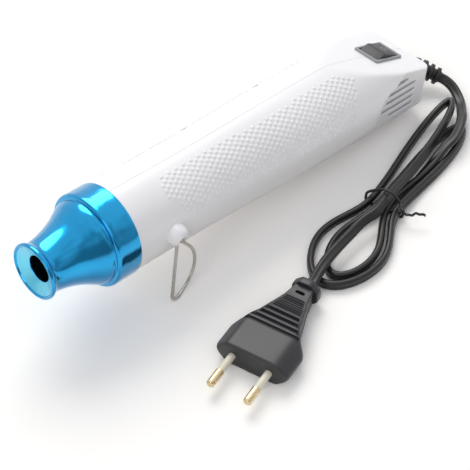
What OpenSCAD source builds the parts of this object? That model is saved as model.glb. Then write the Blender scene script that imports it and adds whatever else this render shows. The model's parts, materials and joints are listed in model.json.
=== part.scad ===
// Embossing heat tool: a straight barrel with a metal nozzle cover, lying on two wire stand loops.
// The tool is drawn along X from the lip, then placed on the floor with the nozzle raised.

/* [Nozzle cover] */
// Length of the metal cover from the lip to its rear edge
cover_len = 42; // [38:0.5:48]
// Radius of the front lip
lip_r = 13.4; // [12.4:0.1:14.4]
// Radius of the neck just behind the lip
neck_r = 12.2; // [11.2:0.1:12.4]
// Radius of the hot air outlet
outlet_r = 6.3; // [4.5:0.1:7.5]
// Depth of the dished face from the lip to the outlet
dish_depth = 3.4; // [2:0.1:4.5]
// Length of the straight rear band
band_len = 11; // [9:0.5:13]
// Wall of the metal cover
cover_wall = 0.8; // [0.6:0.05:1]

/* [Barrel] */
// Length of the tool from the lip to the tail face
tool_len = 239; // [233:1:250]
// Outer radius of the barrel next to the nozzle cover
front_r = 22; // [21.6:0.1:22.6]
// Outer radius of the barrel at the rear grip
grip_r = 24; // [23.4:0.1:24.8]
// Wall of the two half shells
shell_wall = 2; // [1.6:0.1:2.4]
// Distance from the axis to each flat side of the tail
tail_flat_y = 20; // [19.4:0.1:20.6]
// Radius that rounds the rim of the tail
tail_round = 5; // [3:0.5:6]
// Slope of the flat that carries the switch, in degrees
flat_slope = 16; // [14:0.5:17]
// Radius of the screws that close the shells
screw_r = 1.4; // [1.2:0.1:1.6]

/* [Air vents] */
// Number of vent slots on each side
vent_count = 5; // [3:1:5]
// Height of each vent slot
vent_h = 2; // [1.4:0.1:2.4]
// Spacing from slot to slot
vent_pitch = 4.3; // [4:0.1:4.6]
// Length of the longest vent slot
vent_len = 24; // [18:0.5:25]

/* [Heater] */
// Outer radius of the steel heater tube
heater_r = 16; // [15:0.1:16.5]
// Length of the steel heater tube
heater_len = 62; // [54:1:64]
// Wall of the steel heater tube
heater_wall = 0.5; // [0.4:0.05:0.7]
// Wall of the mica lining
mica_wall = 0.5; // [0.4:0.05:0.6]
// Thickness of the mica plates that carry the wire
plate_t = 0.8; // [0.6:0.1:1.2]
// Radius of the wound heating wire's helix
coil_r = 12.6; // [12:0.1:13]
// Thickness of the heating wire
coil_wire = 0.8; // [0.6:0.1:1]
// Turns of heating wire
coil_turns = 10; // [8:1:12]

/* [Fan and motor] */
// Outer radius of the fan
fan_r = 17.5; // [16:0.1:18.5]
// Number of fan blades
fan_blades = 7; // [5:1:9]
// Length of the fan along the shaft
fan_len = 9; // [7:0.5:10]
// Radius of the motor shaft
shaft_r = 1; // [0.8:0.05:1.2]
// Outer radius of the motor
motor_r = 12; // [11:0.1:13]
// Length of the motor can
motor_len = 30; // [26:0.5:32]

/* [Switch] */
// Length of the switch bezel along the barrel
bezel_len = 21; // [21:0.5:22.5]
// Width of the switch bezel
bezel_w = 15; // [14:0.5:16]
// Height of the bezel above the flat
bezel_h = 1.6; // [1.2:0.1:2]
// Length of the rocker
rocker_len = 16; // [14:0.5:16]
// Width of the rocker
rocker_w = 10.4; // [9.6:0.1:10.6]
// Height of the rocker's ridge above the bezel
rocker_rise = 2.6; // [2:0.1:3.2]
// Depth of the switch housing below the flat
switch_depth = 12; // [10:0.5:13]

/* [Wire stand] */
// Thickness of the stainless wire
wire_d = 1.7; // [1.4:0.1:2]
// Height of each wire loop, from its hinge pin to the floor
loop_h = 41; // [38:0.5:44]
// Width of each wire loop
loop_w = 12.5; // [11:0.5:14]
// Radius of the boss that holds the loop
boss_r = 5.1; // [5:0.1:6]
// Distance from the lip to the middle of the boss
boss_x = 62.4; // [58:0.2:68]

/* [Plug] */
// Width of the plug's body
plug_w = 37.6; // [35:0.1:39]
// Thickness of the plug's body
plug_t = 13.7; // [13:0.1:14.4]
// Length of the plug from its front face to its collar
plug_len = 48; // [45:0.5:51]
// Length of the plug's pins
pin_len = 19; // [18.5:0.1:19.5]
// Radius of the plug's pins
pin_r = 2; // [1.9:0.05:2.1]
// Spacing of the plug's pins
pin_gap = 18.4; // [18:0.1:19.2]

/* [Cord] */
// Width of the flat twin cord, which stands on edge
cord_w = 5.2; // [4.8:0.1:5.6]
// Thickness of the flat twin cord
cord_t = 3.2; // [2.8:0.1:3.4]

/* [Hidden] */
$fn = 72;

// Clearances
fit = 0.05;          // a pin in its bore, a spigot in its socket
touch = 0.1;         // two still pieces laid side by side
seam = 0.04;         // half of the joint line between the two shells

// Stations along the barrel, from the lip
spigot_len = 7;
shell_x = cover_len - spigot_len;
band_x = cover_len - band_len;
web_t = 2.5;
ring_t = 2;
flange_t = 0.6;
web_x = shell_x;
ring_x = web_x - ring_t - touch;
flange_x = ring_x - flange_t - touch;
heater_end = flange_x + heater_len;
rear_ring_x = heater_end - 5;
rear_ring_t = 3;
fan_x = heater_end + 14;
bracket_t = 3;
bracket_x = fan_x + fan_len + 5;
motor_x = bracket_x + bracket_t + touch;
motor_end = motor_x + motor_len;
endcap_t = 2;
post_h = 1.5;
board_t = 1.6;
board_x = motor_end + endcap_t + post_h + 2 * touch;
board_r = motor_r - 1;

// Radii that follow from others
band_r = front_r + 0.5;
spigot_r = band_r - cover_wall - fit;
web_hole_r = heater_r + 1.5;
rim_r = grip_r - tail_round;
mica_r = heater_r - heater_wall - touch;
motor_bore_r = shaft_r + fit;

// Outer radius of the barrel at a station: it swells from the front to the grip
swell_from = 72;
swell_to = 165;
function smooth(t) = t <= 0 ? 0 : t >= 1 ? 1 : t * t * (3 - 2 * t);
function barrel_r(x) =
    front_r + (grip_r - front_r) * smooth((x - swell_from) / (swell_to - swell_from));
function bore_at(x) = barrel_r(x) - shell_wall;

// Switch flat: a plane that slopes down to the tail
switch_x = tool_len - 20;
switch_z = 12.9;
flat_end_z = switch_z - (tool_len - switch_x) * tan(flat_slope);

// Screws that close the shells, as [x, z]
screw_head_r = screw_r + 1.2;
screw_head_t = 1.6;
screw_head_y = 9;
screw_tip_y = -10;
screw_boss_r = screw_head_r + 1.4;
front_screw_x = heater_end + screw_boss_r + 2;
motor_screw_z = motor_r + screw_boss_r + 0.5;
screw_places = [
    [front_screw_x, 15],
    [front_screw_x, -15],
    [motor_end - 8, motor_screw_z],
    [motor_end - 8, -motor_screw_z],
    [tool_len - 27, -16]
];

// Stand loop: three arcs joined by straight wire, in a plane beside the barrel
wire_r = wire_d / 2;
hinge_y = front_r + 2.5;
hinge_z = 0.8;
loop_top_r = 1.2;
loop_foot_r = 2.5;
loop_side_r = 1.6 * loop_w;
loop_tilt = 1.5;
loop_x = boss_x - loop_top_r;
foot_z = hinge_z - loop_h + wire_r;
slot_w = 2 * (loop_top_r + wire_r) + 1.1;
slot_floor_y = hinge_y - wire_r - 0.45;
pin_reach = slot_w / 2 - loop_top_r + 1.2;
top_c = [loop_x + loop_top_r, hinge_z - 4];
foot_c = [loop_x + loop_foot_r, foot_z + loop_foot_r];
side_c = [loop_x + loop_w - loop_side_r, foot_z + 0.43 * loop_h];

// How the tool lies: the loops' feet and the tail's lower rim both touch the floor
rim_x = tool_len - tail_round;
lift_a = rim_x - foot_c[0];
lift_b = -foot_c[1] - rim_r;
lift_c = loop_foot_r + wire_r - tail_round;
pitch = asin(lift_c / norm([lift_a, lift_b])) + atan(lift_b / lift_a);
axis_z = rim_x * sin(pitch) + rim_r * cos(pitch) + tail_round;
front_edge_x = -lip_r * sin(pitch);
rear_edge_x = rim_x * cos(pitch) + (flat_end_z - 1) * sin(pitch) + tail_round;
axis_x = -(front_edge_x + rear_edge_x) / 2;

// Strain relief: a straight collar, then a bend to the side and down, then straight again
boot_z = -8;
boot_r = 4.2;
boot_tip_r = 3.2;
boot_collar = 3;
boot_bend_r = 14;
boot_angle = 62;
boot_straight = 5.5;
boot_turn = -70;
boot_fins = 5;
exit_hole_r = boot_r + fit;

// Clamp that holds the cord inside the tail
clamp_x = tool_len - 9.5;
clamp_z = boot_z + cord_w / 2 + touch;
clamp_screw_y = 5.6;
clamp_screw_r = 1.1;
clamp_post_r = 2.3;

// Plug: where its front face stands on the floor, and how far it is turned from X
plug_at = [-65, -77.6];
plug_turn = 14.4;
collar_t = 3.4;
sleeve_len = 10;
sleeve_r = pin_r - 0.25;
pin_core_r = pin_r - 0.7;
plug_rear = plug_at + (plug_len + collar_t) * [cos(plug_turn), sin(plug_turn)];

echo(pitch = pitch, axis_x = axis_x, axis_z = axis_z);

// Puts a piece drawn along the barrel where the tool lies on the floor
module placed() {
    translate([axis_x, 0, axis_z])
        rotate([0, pitch, 0])
            children();
}

// Turns a piece drawn along Z so that it lies along the barrel
module along(x) {
    translate([x, 0, 0])
        rotate([0, 90, 0])
            children();
}

// Puts a piece drawn flat where the sloping switch flat is
module on_flat() {
    translate([switch_x, 0, switch_z])
        rotate([0, flat_slope, 0])
            children();
}

// A block that is centred in X and Y and stands on z = 0
module block(x, y, z) {
    translate([-x / 2, -y / 2, 0])
        cube([x, y, z]);
}

function arc(c, r, from, to, n) = [
    for (i = [0 : n]) let (a = from + (to - from) * i / n) c + r * [cos(a), sin(a)]
];

// Outline of the barrel as [radius, station], or of its bore with inset
function barrel_line(from, inset) = [
    for (i = [0 : 12])
        let (x = i == 0 ? from : swell_from + (swell_to - swell_from) * (i - 1) / 11)
        [barrel_r(x) - inset, x]
];

module barrel_body() {
    rim = [for (p = arc([rim_x, rim_r], tail_round, 90, 0, 10)) [p[1], p[0]]];
    along(0)
        rotate_extrude()
            polygon(concat([[0, shell_x]], barrel_line(shell_x, 0), rim, [[0, tool_len]]));
}

// The hollow inside, with its own flat ceiling and sides
module barrel_hollow() {
    back = tool_len - shell_wall;
    difference() {
        along(0)
            rotate_extrude()
                polygon(concat(
                    [[0, shell_x - 1]],
                    barrel_line(shell_x - 1, shell_wall),
                    [[grip_r - shell_wall, back - 3], [grip_r - shell_wall - 3, back], [0, back]]
                ));
        tail_cuts(shell_wall);
    }
}

// What the flat top and the two flat sides take off the tail
module tail_cuts(inset) {
    on_flat()
        translate([-70, -40, -inset])
            cube([140, 80, 40]);
    for (side = [-1, 1])
        side_cut(side, inset);
}

// One flat side: its front edge is an arc that runs into a straight edge, and its rear is round
module side_cut(side, inset) {
    nose_r = 13.5;
    nose = [tool_len - 30.5, -5.5];
    corner_r = 6;
    y0 = tail_flat_y - inset;
    scale([1, side, 1]) {
        translate([0, y0 + 20, 0])
            rotate([90, 0, 0])
                linear_extrude(20)
                    offset_outline(nose, nose_r + inset);
        translate([tool_len - corner_r, y0 - corner_r + inset, -40])
            difference() {
                cube([20, 20, 80]);
                translate([0, 0, -1])
                    cylinder(r = corner_r - inset, h = 82);
            }
    }
}

module offset_outline(nose, r) {
    polygon(concat(
        arc(nose, r, 90, 270, 24),
        [[nose[0] + 60, nose[1] - r], [nose[0] + 60, 40], [nose[0] + 26, 40]],
        [[nose[0] + 10.5, nose[1] + r + 5.5]]
    ));
}

module screw_boss(p) {
    translate([p[0], 0, p[1]])
        rotate([90, 0, 0])
            cylinder(r = screw_boss_r, h = 44, center = true);
}

module half_space(side) {
    translate([-20, side > 0 ? seam : -60, -60])
        cube([tool_len + 60, 60 - seam, 120]);
}

// Slots through a flat side; their front ends follow the arc of the flat, and the top one is cut short
module vents(side) {
    middle = (vent_count - 1) / 2;
    for (i = [0 : vent_count - 1]) {
        z = (i - middle) * vent_pitch - 0.5;
        x0 = tool_len - 12 - vent_len + 0.45 * abs(z + 5) + (i == 0 ? 4 : 0);
        x1 = tool_len - 12 - (i == vent_count - 1 ? 6.5 : 0);
        r = vent_h / 2;
        translate([x0 + r, side > 0 ? tail_flat_y - 6 : -tail_flat_y - 4, z - r])
            cube([x1 - x0 - vent_h, 10, vent_h]);
        for (x = [x0 + r, x1 - r])
            translate([x, side * (tail_flat_y - 1), z])
                rotate([90, 0, 0])
                    cylinder(r = r, h = 10, center = true, $fn = 24);
    }
}

// The dome that holds a stand loop, its slot and the blind holes for the loop's two ends
module loop_boss(side) {
    scale([1, side, 1])
        translate([boss_x, front_r - 0.8, hinge_z])
            rotate([-90, 0, 0])
                rotate_extrude()
                    polygon([
                        [0, -1.5], [boss_r, -1.5], [boss_r, 1], [boss_r - 0.5, 3.2],
                        [boss_r - 1.7, 5], [boss_r - 3.3, 6], [0, 6.3]
                    ]);
}

module loop_slot(side) {
    scale([1, side, 1]) {
        translate([boss_x - slot_w / 2, slot_floor_y, hinge_z - 12])
            cube([slot_w, 12, 12 + wire_r + 0.5]);
        translate([boss_x, hinge_y, hinge_z])
            rotate([0, 90, 0])
                cylinder(r = wire_r + fit, h = slot_w + 3.2, center = true);
    }
}

// Posts that carry the cord clamp, one in each shell
module clamp_posts() {
    for (side = [-1, 1])
        translate([clamp_x, side * clamp_screw_y, -grip_r])
            cylinder(r = clamp_post_r, h = grip_r + clamp_z - touch);
}

module clamp_bores() {
    for (side = [-1, 1])
        translate([clamp_x, side * clamp_screw_y, clamp_z - 6])
            cylinder(r = clamp_screw_r + fit, h = 7);
}

module shell(side) {
    difference() {
        intersection() {
            union() {
                difference() {
                    union() {
                        difference() {
                            barrel_body();
                            tail_cuts(0);
                            along(shell_x - 1)
                                tube_ring(spigot_r, grip_r + 5, spigot_len + 1 + touch);
                        }
                        loop_boss(side);
                    }
                    barrel_hollow();
                }
                along(web_x)
                    tube_ring(web_hole_r, bore_at(web_x) + 0.2, web_t);
                intersection() {
                    union() {
                        for (p = screw_places)
                            screw_boss(p);
                        clamp_posts();
                    }
                    barrel_body();
                }
            }
            half_space(side);
        }
        screw_bores();
        clamp_bores();
        vents(side);
        loop_slot(side);
        switch_opening();
        along(tool_len - shell_wall - 1)
            translate([-boot_z, 0, 0])
                cylinder(r = exit_hole_r, h = 20);
    }
}

module tube_ring(r_in, r_out, h) {
    difference() {
        cylinder(r = r_out, h = h);
        translate([0, 0, -1])
            cylinder(r = r_in, h = h + 2);
    }
}

module screw_bores() {
    for (p = screw_places)
        translate([p[0], 0, p[1]])
            rotate([-90, 0, 0]) {
                translate([0, 0, screw_tip_y - 0.5])
                    cylinder(r = screw_r + fit, h = 30);
                translate([0, 0, screw_head_y])
                    cylinder(r = screw_head_r + 0.2, h = 30);
            }
}

module switch_opening() {
    on_flat()
        translate([0, 0, -shell_wall - 3])
            block(bezel_len - 2 + 2 * touch, bezel_w - 2 + 2 * touch, shell_wall + 6);
}

module left_shell() {
    color("white")
        placed()
            shell(-1);
}

module right_shell() {
    color("whitesmoke")
        placed()
            shell(1);
}

module shell_screws() {
    color("silver")
        placed()
            for (p = screw_places)
                translate([p[0], screw_head_y + touch, p[1]])
                    rotate([90, 0, 0]) {
                        cylinder(r = screw_r, h = screw_head_y - screw_tip_y);
                        translate([0, 0, -screw_head_t])
                            difference() {
                                cylinder(r = screw_head_r, h = screw_head_t);
                                for (a = [0, 90])
                                    rotate([0, 0, a])
                                        translate([0, 0, -0.1])
                                            block(3, 0.7, 0.9);
                            }
                    }
}

// Outline of the spun cover: radius against station, for the outside or, with inset, the inside
function cover_line(inset) = [
    [lip_r - inset, 1],
    [lip_r - inset, 1.8],
    [neck_r + 0.3 - inset, 3.2],
    [neck_r - inset, 5],
    [neck_r + 0.5 - inset, 9],
    [neck_r + 1.7 - inset, 14],
    [neck_r + 3.5 - inset, 19],
    [neck_r + 5.6 - inset, 23],
    [neck_r + 8 - inset, band_x - 4.4],
    [band_r - 1.1 - inset, band_x - 2],
    [band_r - 0.3 - inset, band_x - 0.7],
    [band_r - inset, band_x + 0.6],
    [band_r - inset, cover_len]
];

module nozzle_cover() {
    color("deepskyblue")
        placed()
            along(0)
                rotate_extrude()
                    polygon(concat(
                        [[outlet_r, dish_depth + 1], [outlet_r, dish_depth]],
                        [[lip_r - 1.6, 0.7], [lip_r - 1, 0], [lip_r - 0.4, 0.1]],
                        cover_line(0),
                        [for (i = [len(cover_line(0)) - 1 : -1 : 3]) cover_line(cover_wall)[i]],
                        [[neck_r - cover_wall, dish_depth + 1]]
                    ));
}

module front_insulating_ring() {
    color("tan")
        placed()
            along(ring_x)
                tube_ring(heater_r + touch, spigot_r - 0.6, ring_t);
}

module rear_insulating_ring() {
    color("tan")
        placed()
            along(rear_ring_x)
                tube_ring(heater_r + touch, bore_at(rear_ring_x) - touch, rear_ring_t);
}

module heater_tube() {
    color("lightsteelblue")
        placed() {
            along(flange_x)
                tube_ring(heater_r - heater_wall, heater_r, heater_len);
            along(flange_x)
                tube_ring(heater_r - heater_wall, spigot_r - 0.8, flange_t);
        }
}

module mica_sleeve() {
    color("burlywood")
        placed()
            along(flange_x + 1)
                tube_ring(mica_r - mica_wall, mica_r, heater_len - 2);
}

module mica_former() {
    plate_w = 2 * (coil_r - coil_wire / 2 - touch);
    tab_w = 2 * (mica_r - mica_wall - touch);
    color("burlywood")
        placed()
            for (a = [0, 90])
                rotate([a, 0, 0]) {
                    translate([flange_x + 6, -plate_w / 2, -plate_t / 2])
                        cube([heater_len - 14, plate_w, plate_t]);
                    for (x = [flange_x + 2, flange_x + heater_len - 8])
                        translate([x, -tab_w / 2, -plate_t / 2])
                            cube([4, tab_w, plate_t]);
                }
}

function coil_path() =
    let (n = 16 * coil_turns, len_x = heater_len - 20)
    [for (i = [0 : n])
        [flange_x + 9 + len_x * i / n, coil_r * cos(360 * i / 16), coil_r * sin(360 * i / 16)]];

module heating_coil() {
    color("dimgray")
        placed()
            sweep(coil_path(), coil_wire, coil_wire, 6, [1, 0, 0]);
}

module thermal_cutoff() {
    color("silver")
        placed()
            translate([flange_x + 24, 5, plate_t / 2 + 1.6 + touch])
                rotate([0, 90, 0])
                    cylinder(r = 1.6, h = 10);
}

module fan_impeller() {
    hub_r = 5;
    color("black")
        placed()
            along(fan_x)
                difference() {
                    union() {
                        cylinder(r = hub_r, h = fan_len);
                        intersection() {
                            cylinder(r = fan_r, h = fan_len);
                            for (i = [0 : fan_blades - 1])
                                rotate([0, 0, 360 * i / fan_blades])
                                    translate([hub_r - 0.8, 0, fan_len / 2])
                                        rotate([40, 0, 0])
                                            translate([0, -0.6, -fan_len])
                                                cube([fan_r, 1.2, 2 * fan_len]);
                        }
                    }
                    translate([0, 0, -1])
                        cylinder(r = shaft_r, h = fan_len + 2);
                }
}

module motor_shaft() {
    color("silver")
        placed()
            along(fan_x - 1)
                cylinder(r = shaft_r, h = motor_end - fan_x + 1 + touch + endcap_t / 2);
}

motor_screw_y = 8;
motor_screw_r = 1.2;
motor_neck_r = 3.4;

module motor_bracket() {
    color("ivory")
        placed()
            along(bracket_x)
                difference() {
                    cylinder(r = bore_at(bracket_x) - touch, h = bracket_t);
                    translate([0, 0, -1])
                        cylinder(r = motor_neck_r + fit, h = bracket_t + 2);
                    for (a = [30 : 60 : 330])
                        rotate([0, 0, a])
                            translate([motor_r + 3.5, 0, -1])
                                cylinder(r = 3, h = bracket_t + 2);
                    motor_screw_holes();
                }
}

module motor_screw_holes() {
    for (y = [-motor_screw_y, motor_screw_y])
        translate([0, y, -1])
            cylinder(r = motor_screw_r + fit, h = bracket_t + 5);
}

screw_bite = 4;

module motor_screws() {
    color("silver")
        placed()
            along(bracket_x)
                for (y = [-motor_screw_y, motor_screw_y])
                    translate([0, y, 0]) {
                        translate([0, 0, -1])
                            cylinder(r = motor_screw_r, h = bracket_t + screw_bite);
                        translate([0, 0, -1.2 - touch])
                            cylinder(r = 2.1, h = 1.2);
                    }
}

module motor_can() {
    color("lightgray")
        placed()
            difference() {
                union() {
                    along(motor_x)
                        cylinder(r = motor_r, h = motor_len);
                    along(motor_x - bracket_t / 2)
                        cylinder(r = motor_neck_r, h = bracket_t);
                }
                along(motor_x - bracket_t)
                    cylinder(r = motor_bore_r, h = motor_len + 2 * bracket_t);
                along(bracket_x)
                    motor_screw_holes();
            }
}

post_y = 7;
post_r = 1.2;

module motor_endcap() {
    color("ivory")
        placed() {
            along(motor_end + touch)
                difference() {
                    cylinder(r = motor_r - 0.5, h = endcap_t);
                    translate([0, 0, -1])
                        cylinder(r = shaft_r + 0.5, h = endcap_t + 2);
                }
            for (y = [-post_y, post_y])
                translate([0, y, 0])
                    along(motor_end + touch + endcap_t - 0.1)
                        cylinder(r = post_r, h = post_h + 0.1);
        }
}

module rectifier_board() {
    color("darkgreen")
        placed()
            along(board_x)
                cylinder(r = board_r, h = board_t);
}

diode_r = 1.35;
diode_len = 5.2;

module rectifier_diodes() {
    color("black")
        placed()
            for (y = [-5.4, 5.4], z = [2.6, 6])
                translate([board_x + board_t + diode_r + fit, y, z])
                    rotate([90, 0, 0])
                        cylinder(r = diode_r, h = diode_len, center = true);
}

capacitor_r = 3.2;
capacitor_len = 8;
capacitor_z = -4.5;

module smoothing_capacitor() {
    color("royalblue")
        placed()
            translate([0, 0, capacitor_z])
                along(board_x + board_t + fit)
                    cylinder(r = capacitor_r, h = capacitor_len);
}

pivot_r = 1;
pivot_z = -1.6;
rocker_gap = 0.3;
well_depth = 6;

module switch_housing() {
    color("dimgray")
        placed()
            on_flat()
                difference() {
                    union() {
                        block(bezel_len, bezel_w, bezel_h);
                        translate([0, 0, -switch_depth])
                            block(bezel_len - 2, bezel_w - 2, switch_depth + 0.5);
                    }
                    translate([0, 0, -well_depth])
                        block(rocker_len + 2, rocker_w + 2 * rocker_gap, bezel_h + 2 * well_depth);
                    pivot(pivot_r + fit);
                }
}

module pivot(r) {
    translate([0, 0, pivot_z])
        rotate([90, 0, 0])
            cylinder(r = r, h = bezel_w - 2.8, center = true);
}

// The rocker: a ridge across it, and a round lower side, so that it can rock in its frame
module switch_rocker() {
    color([0.1, 0.1, 0.11])
        placed()
            on_flat()
                difference() {
                    rotate([90, 0, 0])
                        linear_extrude(rocker_w, center = true)
                            polygon([
                                [-rocker_len / 2 + 0.2, bezel_h - 1.2],
                                [-2.2, bezel_h + rocker_rise],
                                [-1.2, bezel_h + rocker_rise],
                                [rocker_len / 2, bezel_h + 0.8],
                                [rocker_len / 2 + 0.2, -1],
                                [3, -3.6],
                                [-3, -3.6],
                                [-rocker_len / 2, -1.4]
                            ]);
                    pivot(pivot_r + fit);
                }
}

module switch_pivot() {
    color("silver")
        placed()
            on_flat()
                pivot(pivot_r);
}

terminal_x = 4.5;
terminal_t = 0.8;
terminal_w = 4.8;
terminal_h = 6;

module switch_terminals() {
    color("goldenrod")
        placed()
            on_flat()
                for (x = [-terminal_x, terminal_x])
                    translate([x, 0, -switch_depth - terminal_h])
                        block(terminal_t, terminal_w, terminal_h);
}

// A point of the switch's own plane, as seen from the barrel: along the slope, and above it
function flat_point(u, w) = [
    switch_x + u * cos(flat_slope) + w * sin(flat_slope),
    0,
    switch_z - u * sin(flat_slope) + w * cos(flat_slope)
];

// The cord's end inside the tail, and the two wires from it to the switch and the board
wire_d_in = 1.6;
jacket_len = 9;

module internal_leads() {
    inner_end = tool_len - 6 - touch;
    jacket_x = inner_end - jacket_len;
    low_z = boot_z - cord_w / 2 + wire_d_in / 2;
    high_z = boot_z + cord_w / 2 - wire_d_in / 2;
    behind_terminal = flat_point(
        terminal_x + terminal_t / 2 + wire_d_in / 2,
        -switch_depth - terminal_h + wire_d_in
    );
    color([0.2, 0.2, 0.22])
        placed() {
            translate([jacket_x, -cord_t / 2, boot_z - cord_w / 2])
                cube([jacket_len, cord_t, cord_w]);
            sweep(
                [[jacket_x + 1, 0, high_z], [jacket_x, 0, high_z], behind_terminal],
                wire_d_in, wire_d_in, 8, [0, 1, 0]
            );
            sweep([
                [jacket_x + 1, 0, low_z], [jacket_x - 3, 0, -10], [board_x + 24, 0, -11],
                [board_x + 8, 0, -11], [board_x + board_t + 0.4, 0, -9.4]
            ], wire_d_in, wire_d_in, 8, [0, 1, 0]);
        }
}

// Angle at which the straight wire that joins two arcs leaves them
function join_angle(c1, r1, c2, r2) =
    let (d = c2 - c1)
    atan2(d[1], d[0]) - acos((r1 - r2) / norm(d));

module wire_piece(a, b) {
    d = b - a;
    translate([a[0], 0, a[1]])
        rotate([0, 90 - atan2(d[1], d[0]), 0])
            cylinder(r = wire_r, h = norm(d), $fn = 32);
}

module stand_loop(side) {
    a1 = join_angle(foot_c, loop_foot_r, side_c, loop_side_r);
    a2 = join_angle(side_c, loop_side_r, top_c, loop_top_r);
    rear_x = loop_x + 2 * loop_top_r;
    line = concat(
        [[loop_x, hinge_z]],
        arc(foot_c, loop_foot_r, 180, 360 + a1, 12),
        arc(side_c, loop_side_r, a1, a2, 9),
        arc(top_c, loop_top_r, a2, 0, 6),
        [[rear_x, hinge_z]]
    );
    translate([0, side * hinge_y, hinge_z])
        rotate([-side * loop_tilt, 0, 0])
            translate([0, 0, -hinge_z]) {
                sweep([for (p = line) [p[0], 0, p[1]]], wire_d, wire_d, 12, [0, 1, 0]);
                wire_piece([loop_x + wire_r / 2, hinge_z], [loop_x - pin_reach, hinge_z]);
                wire_piece([rear_x - wire_r / 2, hinge_z], [rear_x + pin_reach, hinge_z]);
            }
}

module stand_loop_left() {
    color("silver")
        placed()
            stand_loop(-1);
}

module stand_loop_right() {
    color("silver")
        placed()
            stand_loop(1);
}

clamp_len = 5;
clamp_w = 16;
clamp_t = 3;

module cord_clamp() {
    color("ivory")
        placed()
            translate([clamp_x, 0, clamp_z])
                difference() {
                    block(clamp_len, clamp_w, clamp_t);
                    for (side = [-1, 1])
                        translate([0, side * clamp_screw_y, -1])
                            cylinder(r = clamp_screw_r + fit, h = clamp_t + 2);
                }
}

module clamp_screws() {
    color("silver")
        placed()
            for (side = [-1, 1])
                translate([clamp_x, side * clamp_screw_y, clamp_z]) {
                    translate([0, 0, -5])
                        cylinder(r = clamp_screw_r, h = 5 + clamp_t + 1);
                    translate([0, 0, clamp_t + touch])
                        cylinder(r = 2, h = 1.3);
                }
}

// Strain relief: collar, curved tapering core and round fins
module strain_relief() {
    color([0.07, 0.07, 0.08])
        placed()
            translate([tool_len, 0, boot_z])
                rotate([boot_turn, 0, 0]) {
                    rotate([0, 90, 0])
                        translate([0, 0, -6])
                            cylinder(r = boot_r, h = boot_collar + 6);
                    translate([-shell_wall - 2.6, 0, 0])
                        rotate([0, 90, 0])
                            cylinder(r = boot_r + 1.4, h = 2.4);
                    boot_core();
                    for (i = [0 : boot_fins - 1])
                        boot_fin((i + 0.5) / boot_fins);
                }
}

// Share t of the way along the boot behind its collar: first the bend, then the straight
boot_bend_len = boot_bend_r * boot_angle * PI / 180;
boot_run = boot_bend_len + boot_straight;

module boot_at(t) {
    bent = min(t * boot_run / boot_bend_len, 1);
    translate([boot_collar, 0, -boot_bend_r])
        rotate([0, boot_angle * bent, 0])
            translate([max(t * boot_run - boot_bend_len, 0), 0, boot_bend_r])
                rotate([0, 90, 0])
                    children();
}

module boot_core() {
    bend = arc([boot_collar, -boot_bend_r], boot_bend_r, 90, 90 - boot_angle, 10);
    last = bend[len(bend) - 1];
    way = [cos(boot_angle), -sin(boot_angle)];
    line = concat(
        [[boot_collar - 1, 0, 0]],
        [for (p = bend) [p[0], 0, p[1]]],
        [for (k = [0.25 : 0.25 : 1])
            let (q = last + k * boot_straight * way) [q[0], 0, q[1]]]
    );
    sweep(line, 2 * boot_r - 0.2, 2 * boot_r - 0.2, 20, [0, 1, 0], boot_tip_r / boot_r);
}

module boot_fin(t) {
    boot_at(t)
        cylinder(r = boot_r + 1.4 - 1.1 * t, h = 2, center = true);
}

// Sweeps an oval section along a path, its wide side along `up`; `tip` is the last ring's share
module sweep(path, wide, thick, sides, up, tip = 1) {
    n = len(path);
    function tangent(i) =
        let (a = path[max(i - 1, 0)], b = path[min(i + 1, n - 1)]) (b - a) / norm(b - a);
    points = [
        for (i = [0 : n - 1])
            let (
                t = tangent(i),
                s = cross(up, t) / norm(cross(up, t)),
                w = cross(t, s),
                share = 1 + (tip - 1) * i / (n - 1)
            )
            for (k = [0 : sides - 1])
                let (a = 360 * (k + 0.5) / sides)
                path[i] + share / 2 * (s * thick * cos(a) + w * wide * sin(a))
    ];
    faces = concat(
        [[for (k = [0 : sides - 1]) k]],
        [for (i = [0 : n - 2], k = [0 : sides - 1])
            let (a = i * sides + k, b = i * sides + (k + 1) % sides) [a, a + sides, b + sides]],
        [for (i = [0 : n - 2], k = [0 : sides - 1])
            let (a = i * sides + k, b = i * sides + (k + 1) % sides) [a, b + sides, b]],
        [[for (k = [sides - 1 : -1 : 0]) (n - 1) * sides + k]]
    );
    polyhedron(points = points, faces = faces);
}

// Where a point of the tool lies in the room, and which way a direction points there
function turned(p) = [
    p[0] * cos(pitch) + p[2] * sin(pitch),
    p[1],
    p[2] * cos(pitch) - p[0] * sin(pitch)
];
function standing(p) = turned(p) + [axis_x, 0, axis_z];
boot_way = turned([
    cos(boot_angle),
    sin(boot_turn) * sin(boot_angle),
    -cos(boot_turn) * sin(boot_angle)
]);
boot_side = boot_bend_r * (1 - cos(boot_angle)) + boot_straight * sin(boot_angle);
boot_end = standing([
    tool_len + boot_collar + boot_bend_r * sin(boot_angle) + boot_straight * cos(boot_angle),
    sin(boot_turn) * boot_side,
    boot_z - cos(boot_turn) * boot_side
]);

// The hank: its waist, the way it lies, and the height of its two layers
waist = [51.3, -52];
hank_angle = 13;
layer_z = [2.65, 8.4];
along_hank = [cos(hank_angle), sin(hank_angle), 0];
across_hank = [-sin(hank_angle), cos(hank_angle), 0];

// Where the cord crosses the waist each time; each loop's reach, middle, half width and pinch
waist_v = [-2.4, 2.4, -7.2, 7.2, -1.5];
loops = [[-51, -1.5, 15.5, 24], [70, -6.2, 10.5, 50], [-58, 0.3, 22.5, 24], [79, 5.6, 8.4, 48]];
rings_per_loop = 24;
end_run = 6;

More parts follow.
